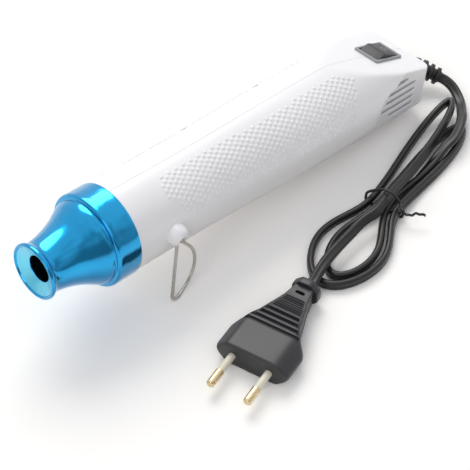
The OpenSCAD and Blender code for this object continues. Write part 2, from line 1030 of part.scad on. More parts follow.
function hank_point(t) =
    let (
        k = min(floor(t), len(loops) - 1),
        a = 180 * (t - k),
        u = loops[k][0] * sin(a),
        open = 1 - exp(-pow(u / loops[k][3], 2)),
        middle = (1 - open) * (waist_v[k] + waist_v[k + 1]) / 2 + open * loops[k][1],
        half = (1 - open) * (waist_v[k + 1] - waist_v[k]) / 2 + open * side_of(k) * loops[k][2],
        v = middle - cos(a) * half,
        climb = smooth((t - len(loops) + 0.85) / 0.35),
        z = layer_z[0] + (layer_z[1] - layer_z[0]) * climb + 1.8 * exp(-pow(u / 16, 2))
    )
    concat(waist, 0) + u * along_hank + v * across_hank + [0, 0, z];
function side_of(k) = waist_v[k + 1] > waist_v[k] ? 1 : -1;

hank_rings = rings_per_loop / 2 * len(loops);
hank_in = hank_point(0) + end_run * along_hank;
hank_out = hank_point(len(loops)) - end_run * along_hank;
hank_path = concat(
    [hank_in],
    [for (i = [0 : hank_rings]) hank_point(i * len(loops) / hank_rings)],
    [hank_out]
);

// Least gap of the hank to itself, between points that are not on the same bend
function section_reach(d) = norm([norm([d[0], d[1]]) * cord_t, d[2] * cord_w]) / norm(d);
gap_steps = 4 * hank_rings;
hank_gaps = [
    for (i = [0 : gap_steps], j = [i + 50 : gap_steps])
        let (d = hank_point(i * len(loops) / gap_steps) - hank_point(j * len(loops) / gap_steps))
        norm(d) - section_reach(d)
];
echo(hank_least_gap = min(hank_gaps));

// A point of the table beside the hank: along it, across it and above the table
function beside(p) = concat(waist, 0) + p[0] * along_hank + p[1] * across_hank + [0, 0, p[2]];

// The cord from the strain relief to the hank: down to the table, over the first loop and in
lead_way = [
    [91.8, 10.6, 6.4], [87.4, 4.6, 4.8], [82.6, 0.8, 4.8], [77.4, -2, 6.4], [72.5, -4.4, 8.2],
    [67, -6.4, 8.8], [61, -7.8, 8.8], [55, -8.4, 8.6], [49.5, -7.5, 7.8], [44, -6.6, 5.8],
    [38, -5.8, 3.9], [30, -4.9, 2.9], [22, -3.9, 2.8], [15, -3, 3.3]
];
lead_path = concat(
    [boot_end + 2 * touch * boot_way, boot_end + cord_w * boot_way],
    [for (p = lead_way) beside(p)],
    [hank_in + 2 * along_hank, hank_in]
);

// The cord from the hank to the plug: over the lower loops and down to the plug's collar
plug_way = [cos(plug_turn), sin(plug_turn), 0];
plug_end = concat(plug_rear, plug_t / 2);
tail_path = concat(
    [hank_out, hank_out - cord_w * along_hank],
    [[32, -55, 8.9], [22, -56.3, 8.6], [12, -57.8, 8.5], [3, -59.6, 8.5], [-4, -61.6, 8.2]],
    [plug_end + cord_w * plug_way, plug_end]
);

function sum(v, i = 0) = i >= len(v) ? 0 : v[i] + sum(v, i + 1);
function run_of(p) = sum([for (i = [1 : len(p) - 1]) norm(p[i] - p[i - 1])]);
echo(cord_mm = [run_of(lead_path), run_of(hank_path), run_of(tail_path)]);

module cord_hank() {
    color([0.08, 0.08, 0.09])
        sweep(hank_path, cord_w, cord_t, 6, [0, 0, 1]);
}

module cord_lead() {
    color([0.08, 0.08, 0.09])
        sweep(lead_path, cord_w, cord_t, 8, [0, 0, 1]);
}

module cord_tail() {
    color([0.08, 0.08, 0.09])
        sweep(tail_path, cord_w, cord_t, 8, [0, 0, 1]);
}

// Wire tie: once round the waist of the hank, then its two ends twisted up into a small tail
tie_r = 0.7;
tie_ring = [
    [-8.6, 8.6], [-9.9, 6.8], [-9.9, 1.8], [-9, 0.75], [9, 0.75], [9.9, 1.8], [9.9, 6.8],
    [8.6, 8.6], [1.4, 13.9], [-1.5, 14.2], [-4.4, 13.4], [-8.2, 9.6]
];

module twist_tie() {
    color([0.05, 0.05, 0.06])
        sweep(
            concat(
                [for (p = tie_ring) concat(waist, 0) + p[0] * across_hank + [0, 0, p[1]]],
                [[51, -63, 9], [52, -66, 7], [55, -69, 8], [58, -72, 7]]
            ),
            2 * tie_r, 2 * tie_r, 6, along_hank
        );
}

module at_plug() {
    translate([plug_at[0], plug_at[1], plug_t / 2])
        rotate([0, 0, plug_turn + 180])
            children();
}

// Half of the plug's outline seen from above, as [behind the front face, half width]
plug_side = [
    [0, 0.465], [0.03, 0.495], [0.07, 0.5], [0.29, 0.5], [0.345, 0.455], [0.385, 0.4],
    [0.44, 0.35], [0.52, 0.285], [0.65, 0.235], [0.84, 0.16], [1, 0.12]
];

module plug_body() {
    neck_t = 9;
    outline = [for (p = plug_side) [-p[0] * plug_len, p[1] * plug_w]];
    flank_y = plug_w / 2;
    flank_in = 6.3;
    ridge_z = 1;
    color([0.1, 0.1, 0.11])
        at_plug() {
            difference() {
                intersection() {
                    linear_extrude(plug_t, center = true)
                        polygon(concat(
                            outline,
                            [for (i = [len(outline) - 1 : -1 : 0]) [outline[i][0], -outline[i][1]]]
                        ));
                    rotate([90, 0, 0])
                        linear_extrude(plug_w + 1, center = true)
                            polygon([
                                [1, plug_t / 2], [-plug_len * 0.36, plug_t / 2],
                                [-plug_len - 1, neck_t / 2], [-plug_len - 1, -neck_t / 2],
                                [-plug_len * 0.36, -plug_t / 2], [1, -plug_t / 2]
                            ]);
                    rotate([90, 0, 90])
                        linear_extrude(3 * plug_len, center = true)
                            polygon([
                                [-flank_y, -ridge_z], [-flank_y + flank_in, -plug_t / 2],
                                [flank_y - flank_in, -plug_t / 2], [flank_y, -ridge_z],
                                [flank_y, ridge_z], [flank_y - flank_in, plug_t / 2],
                                [-flank_y + flank_in, plug_t / 2], [-flank_y, ridge_z]
                            ]);
                }
                plug_grooves();
                translate([-plug_len * 0.91, 0, -plug_t])
                    for (y = [-1.4, 1.4])
                        translate([0, y, 0])
                            cylinder(r = 0.8, h = 2 * plug_t, $fn = 24);
                for (y = [-pin_gap / 2, pin_gap / 2])
                    translate([-5, y, 0])
                        rotate([0, 90, 0])
                            cylinder(r = sleeve_r + fit, h = 10);
            }
            translate([-plug_len - collar_t, 0, 0])
                rotate([0, 90, 0])
                    rotate([0, 0, 22.5])
                        cylinder(r = (plug_t / 2 - 0.1) / cos(22.5), h = collar_t, $fn = 8);
        }
}

// Four wide grooves and seven fine ones across each broad face of the plug's grip
module plug_grooves() {
    for (side = [-1, 1]) {
        for (i = [0 : 3])
            plug_groove(side, 0.38 + 0.07 * i, 1.9, 1.5);
        for (i = [0 : 6])
            plug_groove(side, 0.655 + 0.028 * i, 0.7, 0.7);
    }
}

module plug_groove(side, s, wide, deep) {
    half_y = lookup(s, plug_side) * plug_w;
    face_z = plug_t / 2 - (s - 0.36) * (plug_t / 2 - 4.5) / 0.64;
    translate([-s * plug_len, 0, side * face_z])
        cube([wide, 2 * half_y - 2.4, 2 * deep], center = true);
}

module plug_pins() {
    color("gold")
        at_plug()
            for (y = [-pin_gap / 2, pin_gap / 2])
                translate([0, y, 0])
                    rotate([0, 90, 0]) {
                        translate([0, 0, -4])
                            cylinder(r = pin_core_r, h = 4 + sleeve_len + 1);
                        translate([0, 0, sleeve_len + touch])
                            cylinder(r = pin_r, h = pin_len - sleeve_len - touch - 1);
                        translate([0, 0, pin_len - 1])
                            cylinder(r1 = pin_r, r2 = pin_r - 0.8, h = 1);
                    }
}

module pin_sleeves() {
    color("ivory")
        at_plug()
            for (y = [-pin_gap / 2, pin_gap / 2])
                translate([0, y, 0])
                    rotate([0, 90, 0])
                        translate([0, 0, -3])
                            tube_ring(pin_core_r + fit, sleeve_r, sleeve_len + 3);
}

left_shell();
right_shell();
shell_screws();
nozzle_cover();
front_insulating_ring();
rear_insulating_ring();
heater_tube();
mica_sleeve();
mica_former();
heating_coil();
thermal_cutoff();
fan_impeller();
motor_shaft();
motor_bracket();
motor_screws();
motor_can();
motor_endcap();
rectifier_board();
rectifier_diodes();
smoothing_capacitor();
switch_housing();
switch_rocker();
switch_pivot();
switch_terminals();
internal_leads();
stand_loop_left();
stand_loop_right();
cord_clamp();
clamp_screws();
strain_relief();
cord_lead();
cord_hank();
cord_tail();
twist_tie();
plug_body();
plug_pins();
pin_sleeves();
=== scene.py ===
import json
import math

import bmesh
import bpy
import numpy as np
from mathutils import Matrix, Vector


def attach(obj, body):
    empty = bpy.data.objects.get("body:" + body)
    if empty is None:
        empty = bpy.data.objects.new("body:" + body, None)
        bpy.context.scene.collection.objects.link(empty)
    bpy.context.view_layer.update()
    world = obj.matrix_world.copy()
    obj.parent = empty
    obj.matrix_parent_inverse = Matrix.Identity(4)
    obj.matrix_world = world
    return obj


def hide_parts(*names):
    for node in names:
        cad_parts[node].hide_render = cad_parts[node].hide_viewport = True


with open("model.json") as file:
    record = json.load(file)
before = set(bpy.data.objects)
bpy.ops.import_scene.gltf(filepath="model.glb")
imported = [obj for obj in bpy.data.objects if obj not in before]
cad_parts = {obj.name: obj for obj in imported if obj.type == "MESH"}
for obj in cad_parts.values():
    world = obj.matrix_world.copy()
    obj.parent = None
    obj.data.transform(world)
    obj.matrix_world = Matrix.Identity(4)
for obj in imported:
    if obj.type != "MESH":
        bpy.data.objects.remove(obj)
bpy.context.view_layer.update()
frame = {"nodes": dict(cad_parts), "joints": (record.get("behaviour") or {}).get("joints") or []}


# Camera. The picture was taken with a long lens from above the outlet, on the side where
# the plug lies, so the barrel runs away to the upper right.
view_right = Vector((0.7088, -0.7054, 0.0))
view_ahead = Vector((0.4818, 0.4842, -0.7303)).normalized()
view_up = view_right.cross(view_ahead)
lean = math.radians(0.58)
image_right = view_right * math.cos(lean) + view_up * math.sin(lean)
image_up = view_up * math.cos(lean) - view_right * math.sin(lean)
lens = bpy.data.cameras.new("long_lens")
lens.lens = 118.0
lens.sensor_width = 36.0
camera = bpy.data.objects.new("camera", lens)
camera.matrix_world = Matrix.Translation((-0.36381, -0.36766, 0.53418)) @ Matrix(
    (image_right, image_up, -view_ahead)
).transposed().to_4x4()
bpy.context.collection.objects.link(camera)
bpy.context.scene.camera = camera


# Studio. A matt white paper table, a large soft lamp high up behind the barrel and a weak
# one by the camera. The camera sees plain white; gloss sees a room with bright windows.
def tone(code):
    """An sRGB hex colour as linear red, green, blue and alpha."""
    parts = [int(code[i:i + 2], 16) / 255 for i in (1, 3, 5)]
    return [p / 12.92 if p <= 0.04045 else ((p + 0.055) / 1.055) ** 2.4 for p in parts] + [1.0]


def add(tree, kind, inputs=None, **settings):
    """Adds one node; an input may be a number, a colour or another node's output."""
    node = tree.nodes.new(kind)
    for name, value in settings.items():
        setattr(node, name, value)
    for name, value in (inputs or {}).items():
        if isinstance(value, bpy.types.NodeSocket):
            tree.links.new(value, node.inputs[name])
        else:
            node.inputs[name].default_value = value
    return node


def empty_material(name):
    made = bpy.data.materials.new(name)
    made.use_nodes = True
    made.node_tree.nodes.clear()
    return made, made.node_tree


def seen_directly(tree):
    """1 for rays from the camera, off gloss or through glass, and 0 for the light itself."""
    path = add(tree, "ShaderNodeLightPath")
    gloss = add(
        tree, "ShaderNodeMath", {0: path.outputs["Is Camera Ray"], 1: path.outputs["Is Glossy Ray"]},
        operation="MAXIMUM"
    )
    return add(
        tree, "ShaderNodeMath", {0: gloss.outputs[0], 1: path.outputs["Is Transmission Ray"]},
        operation="MAXIMUM"
    ).outputs[0]


room = bpy.data.worlds.new("white_room")
room.use_nodes = True
room.node_tree.nodes.clear()
bpy.context.scene.world = room
tree = room.node_tree
path = add(tree, "ShaderNodeLightPath")
way_out = add(tree, "ShaderNodeTexCoord").outputs["Generated"]
blotch = add(tree, "ShaderNodeTexNoise", {"Vector": way_out, "Scale": 2.6, "Detail": 2.0})
to_window = add(
    tree, "ShaderNodeVectorMath", {0: way_out, 1: (0.18, 0.26, 0.36)}, operation="DOT_PRODUCT"
)
patchy = add(
    tree, "ShaderNodeMath", {0: to_window.outputs["Value"], 1: blotch.outputs["Fac"]}, operation="ADD"
)
furniture = add(tree, "ShaderNodeValToRGB", {"Fac": patchy.outputs[0]})
furniture.color_ramp.elements[0].position = 0.4
furniture.color_ramp.elements[0].color = (0.3, 0.31, 0.33, 1)
furniture.color_ramp.elements[1].position = 0.74
furniture.color_ramp.elements[1].color = (1.0, 1.0, 1.0, 1)
soft_light = add(tree, "ShaderNodeBackground", {"Color": tone("#F4F6FB"), "Strength": 0.56})
reflected = add(tree, "ShaderNodeBackground", {"Color": furniture.outputs["Color"], "Strength": 1.0})
white = add(tree, "ShaderNodeBackground", {"Color": (1, 1, 1, 1), "Strength": 1.0})
clear = add(
    tree, "ShaderNodeMath", {0: path.outputs["Is Camera Ray"], 1: path.outputs["Is Transmission Ray"]},
    operation="MAXIMUM"
)
lit = add(
    tree, "ShaderNodeMixShader",
    {0: path.outputs["Is Glossy Ray"], 1: soft_light.outputs[0], 2: reflected.outputs[0]}
)
room_mix = add(tree, "ShaderNodeMixShader", {0: clear.outputs[0], 1: lit.outputs[0], 2: white.outputs[0]})
add(tree, "ShaderNodeOutputWorld", {"Surface": room_mix.outputs[0]})

table_paper, tree = empty_material("table_paper")
matt = add(tree, "ShaderNodeBsdfDiffuse", {"Color": tone("#EAE5DF"), "Roughness": 1.0})
bright = add(tree, "ShaderNodeBsdfDiffuse", {"Color": (1.16, 1.14, 1.115, 1.0), "Roughness": 1.0})
chosen = add(
    tree, "ShaderNodeMixShader", {0: seen_directly(tree), 1: matt.outputs[0], 2: bright.outputs[0]}
)
add(tree, "ShaderNodeOutputMaterial", {"Surface": chosen.outputs[0]})

table_mesh = bpy.data.meshes.new("table")
table_mesh.from_pydata([(-4, -4, 0), (4, -4, 0), (4, 4, 0), (-4, 4, 0)], [], [(0, 1, 2, 3)])
table_mesh.materials.append(table_paper)
table = bpy.data.objects.new("table", table_mesh)
bpy.context.collection.objects.link(table)

for name, place, size, power in (
    ("window", (0.32, 0.62, 0.95), 0.85, 9.0),
    ("front_fill", (-0.75, -0.35, 0.55), 0.5, 1.2),
):
    lamp = bpy.data.lights.new(name, "AREA")
    lamp.shape = "DISK"
    lamp.size = size
    lamp.energy = power
    lamp.color = tone("#FFFDF8")[:3]
    light = bpy.data.objects.new(name, lamp)
    light.location = place
    light.rotation_euler = (Vector((0.02, 0.0, 0.02)) - Vector(place)).to_track_quat("-Z", "Y").to_euler()
    bpy.context.collection.objects.link(light)


# Mains cord. Two stranded cores side by side in one flat black PVC jacket, extruded. It
# leaves the tail, dips to the table, is folded into a hank and ends in the moulded plug.
hank_waist = np.array([51.3, -52.0, 0.0])
hank_turn = math.radians(13)
along_hank = np.array([math.cos(hank_turn), math.sin(hank_turn), 0.0])
across_hank = np.array([-math.sin(hank_turn), math.cos(hank_turn), 0.0])
waist_crossings = [-2.4, 2.4, -7.2, 7.2, -1.5]
hank_loops = [(-51, -1.5, 15.5, 24), (70, -6.2, 10.5, 50), (-58, 0.3, 22.5, 24), (79, 5.6, 8.4, 48)]


def smooth(t):
    t = np.clip(t, 0.0, 1.0)
    return t * t * (3 - 2 * t)


def hank_point(t):
    k = min(int(t), 3)
    reach, middle_out, half_out, pinch = hank_loops[k]
    turn = math.pi * (t - k)
    u = reach * math.sin(turn)
    open_ = 1 - math.exp(-(u / pinch) ** 2)
    rise = waist_crossings[k + 1] - waist_crossings[k]
    middle = (1 - open_) * (waist_crossings[k] + waist_crossings[k + 1]) / 2 + open_ * middle_out
    half = (1 - open_) * rise / 2 + open_ * math.copysign(half_out, rise)
    v = middle - math.cos(turn) * half
    z = 2.65 + 5.75 * float(smooth((t - 3.15) / 0.35)) + 1.8 * math.exp(-(u / 16) ** 2)
    return hank_waist + u * along_hank + v * across_hank + np.array([0, 0, z])


hank_in = hank_point(0) + 6 * along_hank
hank_out = hank_point(4) - 6 * along_hank
lead_points = [(136.091, -11.709, 9.527), (138.285, -15.857, 7.802)] + [
    tuple(hank_waist + u * along_hank + v * across_hank + np.array([0, 0, z])) for u, v, z in [
        (91.8, 10.6, 6.4), (87.4, 4.6, 4.8), (82.6, 0.8, 4.8), (77.4, -2, 6.4), (72.5, -4.4, 8.2),
        (67, -6.4, 8.8), (61, -7.8, 8.8), (55, -8.4, 8.6), (49.5, -7.5, 7.8), (44, -6.6, 5.8),
        (38, -5.8, 3.9), (30, -4.9, 2.9), (22, -3.9, 2.8), (15, -3, 3.3),
    ]
] + [tuple(hank_in + 2 * along_hank)]
tail_points = [
    (40.725, -55.981, 10.2), (32, -55, 8.9), (22, -56.3, 8.6), (12, -57.8, 8.5), (3, -59.6, 8.5),
    (-4, -61.6, 8.2), (-10.178, -63.524, 6.85), (-15.215, -64.817, 6.85),
]


def smooth_route(points, step):
    """A curve through the points that never loops back, as points one step apart."""
    p = np.asarray(points, float)
    p = np.vstack([2 * p[0] - p[1], p, 2 * p[-1] - p[-2]])
    fine = []
    for i in range(1, len(p) - 2):
        knots = np.cumsum(
            [0] + [max(np.linalg.norm(p[i + j + 1] - p[i + j]), 1e-9) ** 0.5 for j in (-1, 0, 1)]
        )
        t = np.linspace(knots[1], knots[2], 12, endpoint=False)[:, None]
        a = [p[i - 1 + j] + (
            p[i + j] - p[i - 1 + j]
        ) * (t - knots[j]) / (knots[j + 1] - knots[j]) for j in range(3)]
        b = [a[j] + (a[j + 1] - a[j]) * (t - knots[j]) / (knots[j + 2] - knots[j]) for j in range(2)]
        fine.append(b[0] + (b[1] - b[0]) * (t - knots[1]) / (knots[2] - knots[1]))
    fine = np.vstack(fine + [p[-2][None]])
    run = np.concatenate([[0], np.cumsum(np.linalg.norm(np.diff(fine, axis=0), axis=1))])
    even = np.linspace(0, run[-1], max(int(round(run[-1] / step)), 2) + 1)
    return np.stack([np.interp(even, run, fine[:, k]) for k in range(3)], 1)


def grid_faces(rows, columns, wrap=True):
    r = np.arange(rows - 1)[:, None] * columns
    c = np.arange(columns if wrap else columns - 1)[None, :]
    d = (c + 1) % columns
    return np.stack([r + c, r + d, r + columns + d, r + columns + c], -1).reshape(-1, 4).tolist()


def make_piece(name, points, faces, finish, crease=38.0):
    """A mesh with its doubles merged, its faces turned outwards and its edges shaded."""
    mesh = bpy.data.meshes.new(name)
    mesh.from_pydata(np.asarray(points, float).reshape(-1, 3).tolist(), [], faces)
    work = bmesh.new()
    work.from_mesh(mesh)
    bmesh.ops.remove_doubles(work, verts=work.verts, dist=1e-7)
    bmesh.ops.recalc_face_normals(work, faces=work.faces)
    work.to_mesh(mesh)
    work.free()
    mesh.shade_smooth()
    mesh.set_sharp_from_angle(angle=math.radians(crease))
    for one in finish if isinstance(finish, list) else [finish]:
        mesh.materials.append(one)
    made = bpy.data.objects.new(name, mesh)
    bpy.context.collection.objects.link(made)
    return made


def swept(route, section, up=(0, 0, 1)):
    """Rings of a section, given for each point as [out to the side, up], and closed ends."""
    ahead = np.gradient(route, axis=0)
    ahead /= np.linalg.norm(ahead, axis=1)[:, None]
    side = np.cross(np.asarray(up, float), ahead)
    side /= np.linalg.norm(side, axis=1)[:, None]
    top = np.cross(ahead, side)
    section = np.broadcast_to(section, (len(route),) + np.shape(section)[-2:])
    rings = route[:, None] + section[..., :1] * side[:, None] + section[..., 1:] * top[:, None]
    count = rings.shape[1]
    last = (len(route) - 1) * count
    faces = grid_faces(len(route), count) + [list(range(count)), list(range(last, last + count))]
    return rings.reshape(-1, 3), faces


route = smooth_route(
    lead_points + [tuple(hank_in)] + [tuple(hank_point(i / 24)) for i in range(97)]
    + [tuple(hank_out)] + tail_points, 1.2,
)
ahead = np.gradient(route, axis=0)
side = np.cross((0, 0, 1), ahead)
side /= np.linalg.norm(side, axis=1)[:, None]
top = np.cross(ahead / np.linalg.norm(ahead, axis=1)[:, None], side)
face = np.cross(ahead, tuple(view_ahead))
facing_roll = np.degrees(np.arctan2((face * side).sum(1), (face * top).sum(1)))
facing_roll = np.degrees(np.unwrap(np.radians(facing_roll) * 2) / 2)
along = np.concatenate([[0], np.cumsum(np.linalg.norm(np.diff(route, axis=0), axis=1))])
hank_from = along[np.argmin(np.linalg.norm(route - hank_in, axis=1))]
hank_to = along[-1] - along[np.argmin(np.linalg.norm(route[::-1] - hank_out, axis=1))]
loop_share = np.clip((along - hank_from) / (hank_to - hank_from), 0, 1) * 4
lean_knots = [
    (0, 0), (0.25, 12), (0.75, -12), (1, 0), (1.4, 0), (1.6, -24), (1.8, -40), (2, 0), (2.5, 0),
    (2.8, -20), (3, 0), (3.35, 0), (3.55, -18), (3.75, -44), (4, -30),
]
roll = np.interp(loop_share, *np.array(lean_knots).T)
facing_roll -= 180 * round((facing_roll[0] + 20) / 180)
to_hank = np.clip(along / hank_from, 0, 1)
roll = np.where(along < hank_from, facing_roll * 0.8 * (1 - smooth((to_hank - 0.55) / 0.4)), roll)
to_plug = (along - hank_to) / (along[-1] - hank_to)
roll = np.where(along > hank_to, -30 - 55 * smooth(to_plug), roll)
roll = np.radians(np.convolve(np.pad(roll, 8, mode="edge"), np.ones(17) / 17, mode="valid"))[:, None]

lobe = np.radians(np.linspace(-122, 122, 15))
lobe_out = 1.6 * np.sin(lobe)
lobe_up = 1.0 + 1.6 * np.cos(lobe)
web = np.abs(lobe_up) < 0.6
lobe_out = np.where(web, np.sign(lobe_out) * 1.42, lobe_out)
section = np.concatenate([np.stack([lobe_out, lobe_up], 1), np.stack([-lobe_out, -lobe_up], 1)])
twin_section = np.stack([
    section[:, 0] * np.cos(roll) + section[:, 1] * np.sin(roll),
    section[:, 1] * np.cos(roll) - section[:, 0] * np.sin(roll),
], -1)

# Soft PVC: satin, with a faint drawn grain and dust.
flex_pvc, tree = empty_material("extruded_pvc_jacket")
place = add(tree, "ShaderNodeTexCoord").outputs["Object"]
grain = add(tree, "ShaderNodeTexNoise", {"Vector": place, "Scale": 1400.0, "Detail": 3.0})
cloud = add(tree, "ShaderNodeTexNoise", {"Vector": place, "Scale": 90.0, "Detail": 4.0})
shade = add(tree, "ShaderNodeValToRGB", {"Fac": cloud.outputs["Fac"]})
shade.color_ramp.elements[0].position = 0.3
shade.color_ramp.elements[0].color = tone("#101013")
shade.color_ramp.elements[1].position = 0.75
shade.color_ramp.elements[1].color = tone("#1C1A1D")
rough = add(tree, "ShaderNodeMapRange", {"Value": cloud.outputs["Fac"], "To Min": 0.32, "To Max": 0.46})
bump = add(tree, "ShaderNodeBump", {"Height": grain.outputs["Fac"], "Strength": 0.12, "Distance": 0.0001})
skin = add(
    tree, "ShaderNodeBsdfPrincipled",
    {
        "Base Color": shade.outputs["Color"], "Roughness": rough.outputs[0], "IOR": 1.5,
        "Normal": bump.outputs["Normal"],
    }
)
add(tree, "ShaderNodeOutputMaterial", {"Surface": skin.outputs[0]})

points, faces = swept(route * 0.001, twin_section * 0.001)
mains_cord = make_piece("mains_cord", points, faces, flex_pvc, crease=70)
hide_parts("cord_lead", "cord_hank", "cord_tail")
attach(mains_cord, "housing")


# Wire tie. One steel wire in a round black PVC sleeve, bent by hand round the waist of the
# hank, its ends twisted together into a short tail.
tie_ring = [
    (-8.6, 8.6), (-9.9, 6.8), (-9.9, 1.8), (-9, 0.75), (9, 0.75), (9.9, 1.8), (9.9, 6.8),
    (8.6, 8.6), (1.4, 13.9), (-1.5, 14.2), (-4.4, 13.4), (-8.2, 9.6),
]
tie_route = smooth_route(
    [tuple(hank_waist + v * across_hank + np.array([0, 0, z])) for v, z in tie_ring]
    + [(51, -63, 9), (52, -66, 7), (55, -69, 8), (58, -72, 7)], 0.5,
)
tie_lowest = 1.1
tie_r = 0.68
tie_route[:, 2] = np.maximum(tie_route[:, 2], tie_lowest)
around = np.linspace(0, 2 * math.pi, 12, endpoint=False)
tie_start = int(len(tie_route) * 0.8)
wave = np.zeros(len(tie_route))
wave[tie_start:] = 0.35 * np.sin(np.arange(len(tie_route) - tie_start) * 0.9)
tie_section = np.stack(
    [tie_r * np.cos(around), tie_r * np.sin(around)], 1
)[None] * np.ones((len(tie_route), 1, 1))
tie_section[:, :, 0] += wave[:, None]
points, faces = swept(tie_route * 0.001, tie_section * 0.001, up=along_hank)
wire_tie = make_piece("wire_tie", points, faces, flex_pvc, crease=60)
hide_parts("twist_tie")
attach(wire_tie, "housing")


# Plug. One body moulded in stiff PVC over the pins and the cord's end: a wide front, soft
# flank facets, four wide and seven fine grip grooves, a slotted neck and a thick collar.
plug_length = 48.0
plug_half_thick = 6.85
plug_place = Matrix.Translation((-0.065, -0.0776, 0.00685)) @ Matrix.Rotation(math.radians(194.4), 4, "Z")
plug_shares = np.array([
    (0, 0.465), (0.03, 0.495), (0.07, 0.5), (0.29, 0.5), (0.345, 0.455), (0.385, 0.4),
    (0.44, 0.35), (0.52, 0.285), (0.65, 0.235), (0.84, 0.16), (1, 0.12),
])


def placed(points, matrix):
    points = np.asarray(points, float).reshape(-1, 3) * 0.001
    turn = np.array(matrix.to_3x3())
    return points @ turn.T + np.array(matrix.translation)


back = np.concatenate([[0, 0.15, 0.4, 0.75, 1.1], np.arange(1.4, 47.4, 0.26), [47.5, 47.8, 48.0]])
share = back / plug_length
half_wide = 37.6 * np.interp(share, plug_shares[:, 0], plug_shares[:, 1])
half_wide = np.convolve(np.pad(half_wide, 3, mode="edge"), np.ones(7) / 7, mode="valid")
half_thick = plug_half_thick - (plug_half_thick - 4.5) * smooth((share - 0.33) / 0.55)
front_round = 1.3 - np.sqrt(np.clip(1.69 - np.clip(1.3 - back, 0, None) ** 2, 0, None))
half_wide -= front_round
half_thick -= front_round
turn = np.linspace(0, 2 * math.pi, 112, endpoint=False) + 0.02
aim_y = half_wide[:, None] * np.sign(np.cos(turn)) * np.abs(np.cos(turn)) ** 0.62
aim_z = half_thick[:, None] * np.sign(np.sin(turn)) * np.abs(np.sin(turn)) ** 0.62
power = 18.0
facet = (0.68 * np.abs(aim_y) + 0.733 * np.abs(aim_z)) / (13.5 - front_round[:, None])
gauge = (
    (np.abs(aim_y) / half_wide[:, None]) ** power + (
        np.abs(aim_z) / half_thick[:, None]
    ) ** power + facet ** power
) ** (1 / power)
plug_y = aim_y / gauge
plug_z = aim_z / gauge
groove = np.zeros_like(back)
for middle, wide, deep in [(0.38 + 0.07 * i, 1.9, 1.5) for i in range(4)] + [
    (0.655 + 0.028 * i, 0.75, 0.75) for i in range(7)
]:
    off = np.abs(back - middle * plug_length)
    groove = np.maximum(groove, deep * smooth((wide / 2 + 0.22 - off) / 0.44))
rail = smooth((half_wide[:, None] - 1.35 - np.abs(plug_y)) / 0.5)
flat = smooth((np.abs(plug_z) / half_thick[:, None] - 0.8) / 0.12)
plug_z -= np.sign(plug_z) * groove[:, None] * rail * flat
rings = np.stack([-back[:, None] + 0 * plug_y, plug_y, plug_z], -1)
count = rings.shape[1]
last = (len(back) - 1) * count
plug_faces = grid_faces(len(back), count) + [list(range(count)), list(range(last, last + count))]

# Stiff PVC from a spark-eroded mould: satin, fine even pits.
plug_pvc, tree = empty_material("moulded_plug_pvc")
place = add(tree, "ShaderNodeTexCoord").outputs["Object"]
pits = add(tree, "ShaderNodeTexNoise", {"Vector": place, "Scale": 2600.0, "Detail": 2.0})
cloud = add(tree, "ShaderNodeTexNoise", {"Vector": place, "Scale": 70.0, "Detail": 4.0})
shade = add(tree, "ShaderNodeValToRGB", {"Fac": cloud.outputs["Fac"]})
shade.color_ramp.elements[0].position = 0.3
shade.color_ramp.elements[0].color = tone("#26272B")
shade.color_ramp.elements[1].position = 0.8
shade.color_ramp.elements[1].color = tone("#313237")
rough = add(tree, "ShaderNodeMapRange", {"Value": cloud.outputs["Fac"], "To Min": 0.36, "To Max": 0.5})
bump = add(tree, "ShaderNodeBump", {"Height": pits.outputs["Fac"], "Strength": 0.25, "Distance": 0.0001})
skin = add(
    tree, "ShaderNodeBsdfPrincipled",
    {
        "Base Color": shade.outputs["Color"], "Roughness": rough.outputs[0], "IOR": 1.53,
        "Normal": bump.outputs["Normal"],
    }
)
add(tree, "ShaderNodeOutputMaterial", {"Surface": skin.outputs[0]})

moulding = make_piece("plug_moulding", placed(rings, plug_place), plug_faces, plug_pvc, crease=50)


def cut(target, tool, kind="DIFFERENCE"):
    """Joins a tool to a piece or cuts it out, and throws the tool away."""
    change = target.modifiers.new("cut", "BOOLEAN")
    change.operation = kind
    change.solver = "MANIFOLD"
    change.object = tool
    graph = bpy.context.evaluated_depsgraph_get()
    mesh = bpy.data.meshes.new_from_object(target.evaluated_get(graph))
    target.modifiers.clear()
    target.data = mesh
    bpy.data.objects.remove(tool)


def stadium(half_run, radius, count=12):
    """Outline of a slot with round ends, as [along, across]."""
    bend = np.radians(np.linspace(-90, 90, count))
    right = np.stack([half_run + radius * np.cos(bend), radius * np.sin(bend)], 1)
    return np.concatenate([right, -right])


def stacked(outlines, levels):
    """A closed solid through outlines of equal count, each [a, b], at the given levels."""
    rings = np.concatenate(
        [np.concatenate([o, np.full((len(o), 1), z)], 1) for o, z in zip(outlines, levels)]
    )
    count = len(outlines[0])
    last = (len(outlines) - 1) * count
    return rings, grid_faces(len(outlines), count) + [list(range(count)), list(range(last, last + count))]


slot_rings, slot_faces = stacked(
    [stadium(1.4, 0.8 + f) for f in (0.35, 0, 0, 0.35)], (-5.2, -4.2, 4.2, 5.2)
)
slot_rings = np.stack([slot_rings[:, 1] - 0.91 * plug_length, slot_rings[:, 0], slot_rings[:, 2]], 1)
cut(moulding, make_piece("slot_cutter", placed(slot_rings, plug_place), slot_faces, plug_pvc))

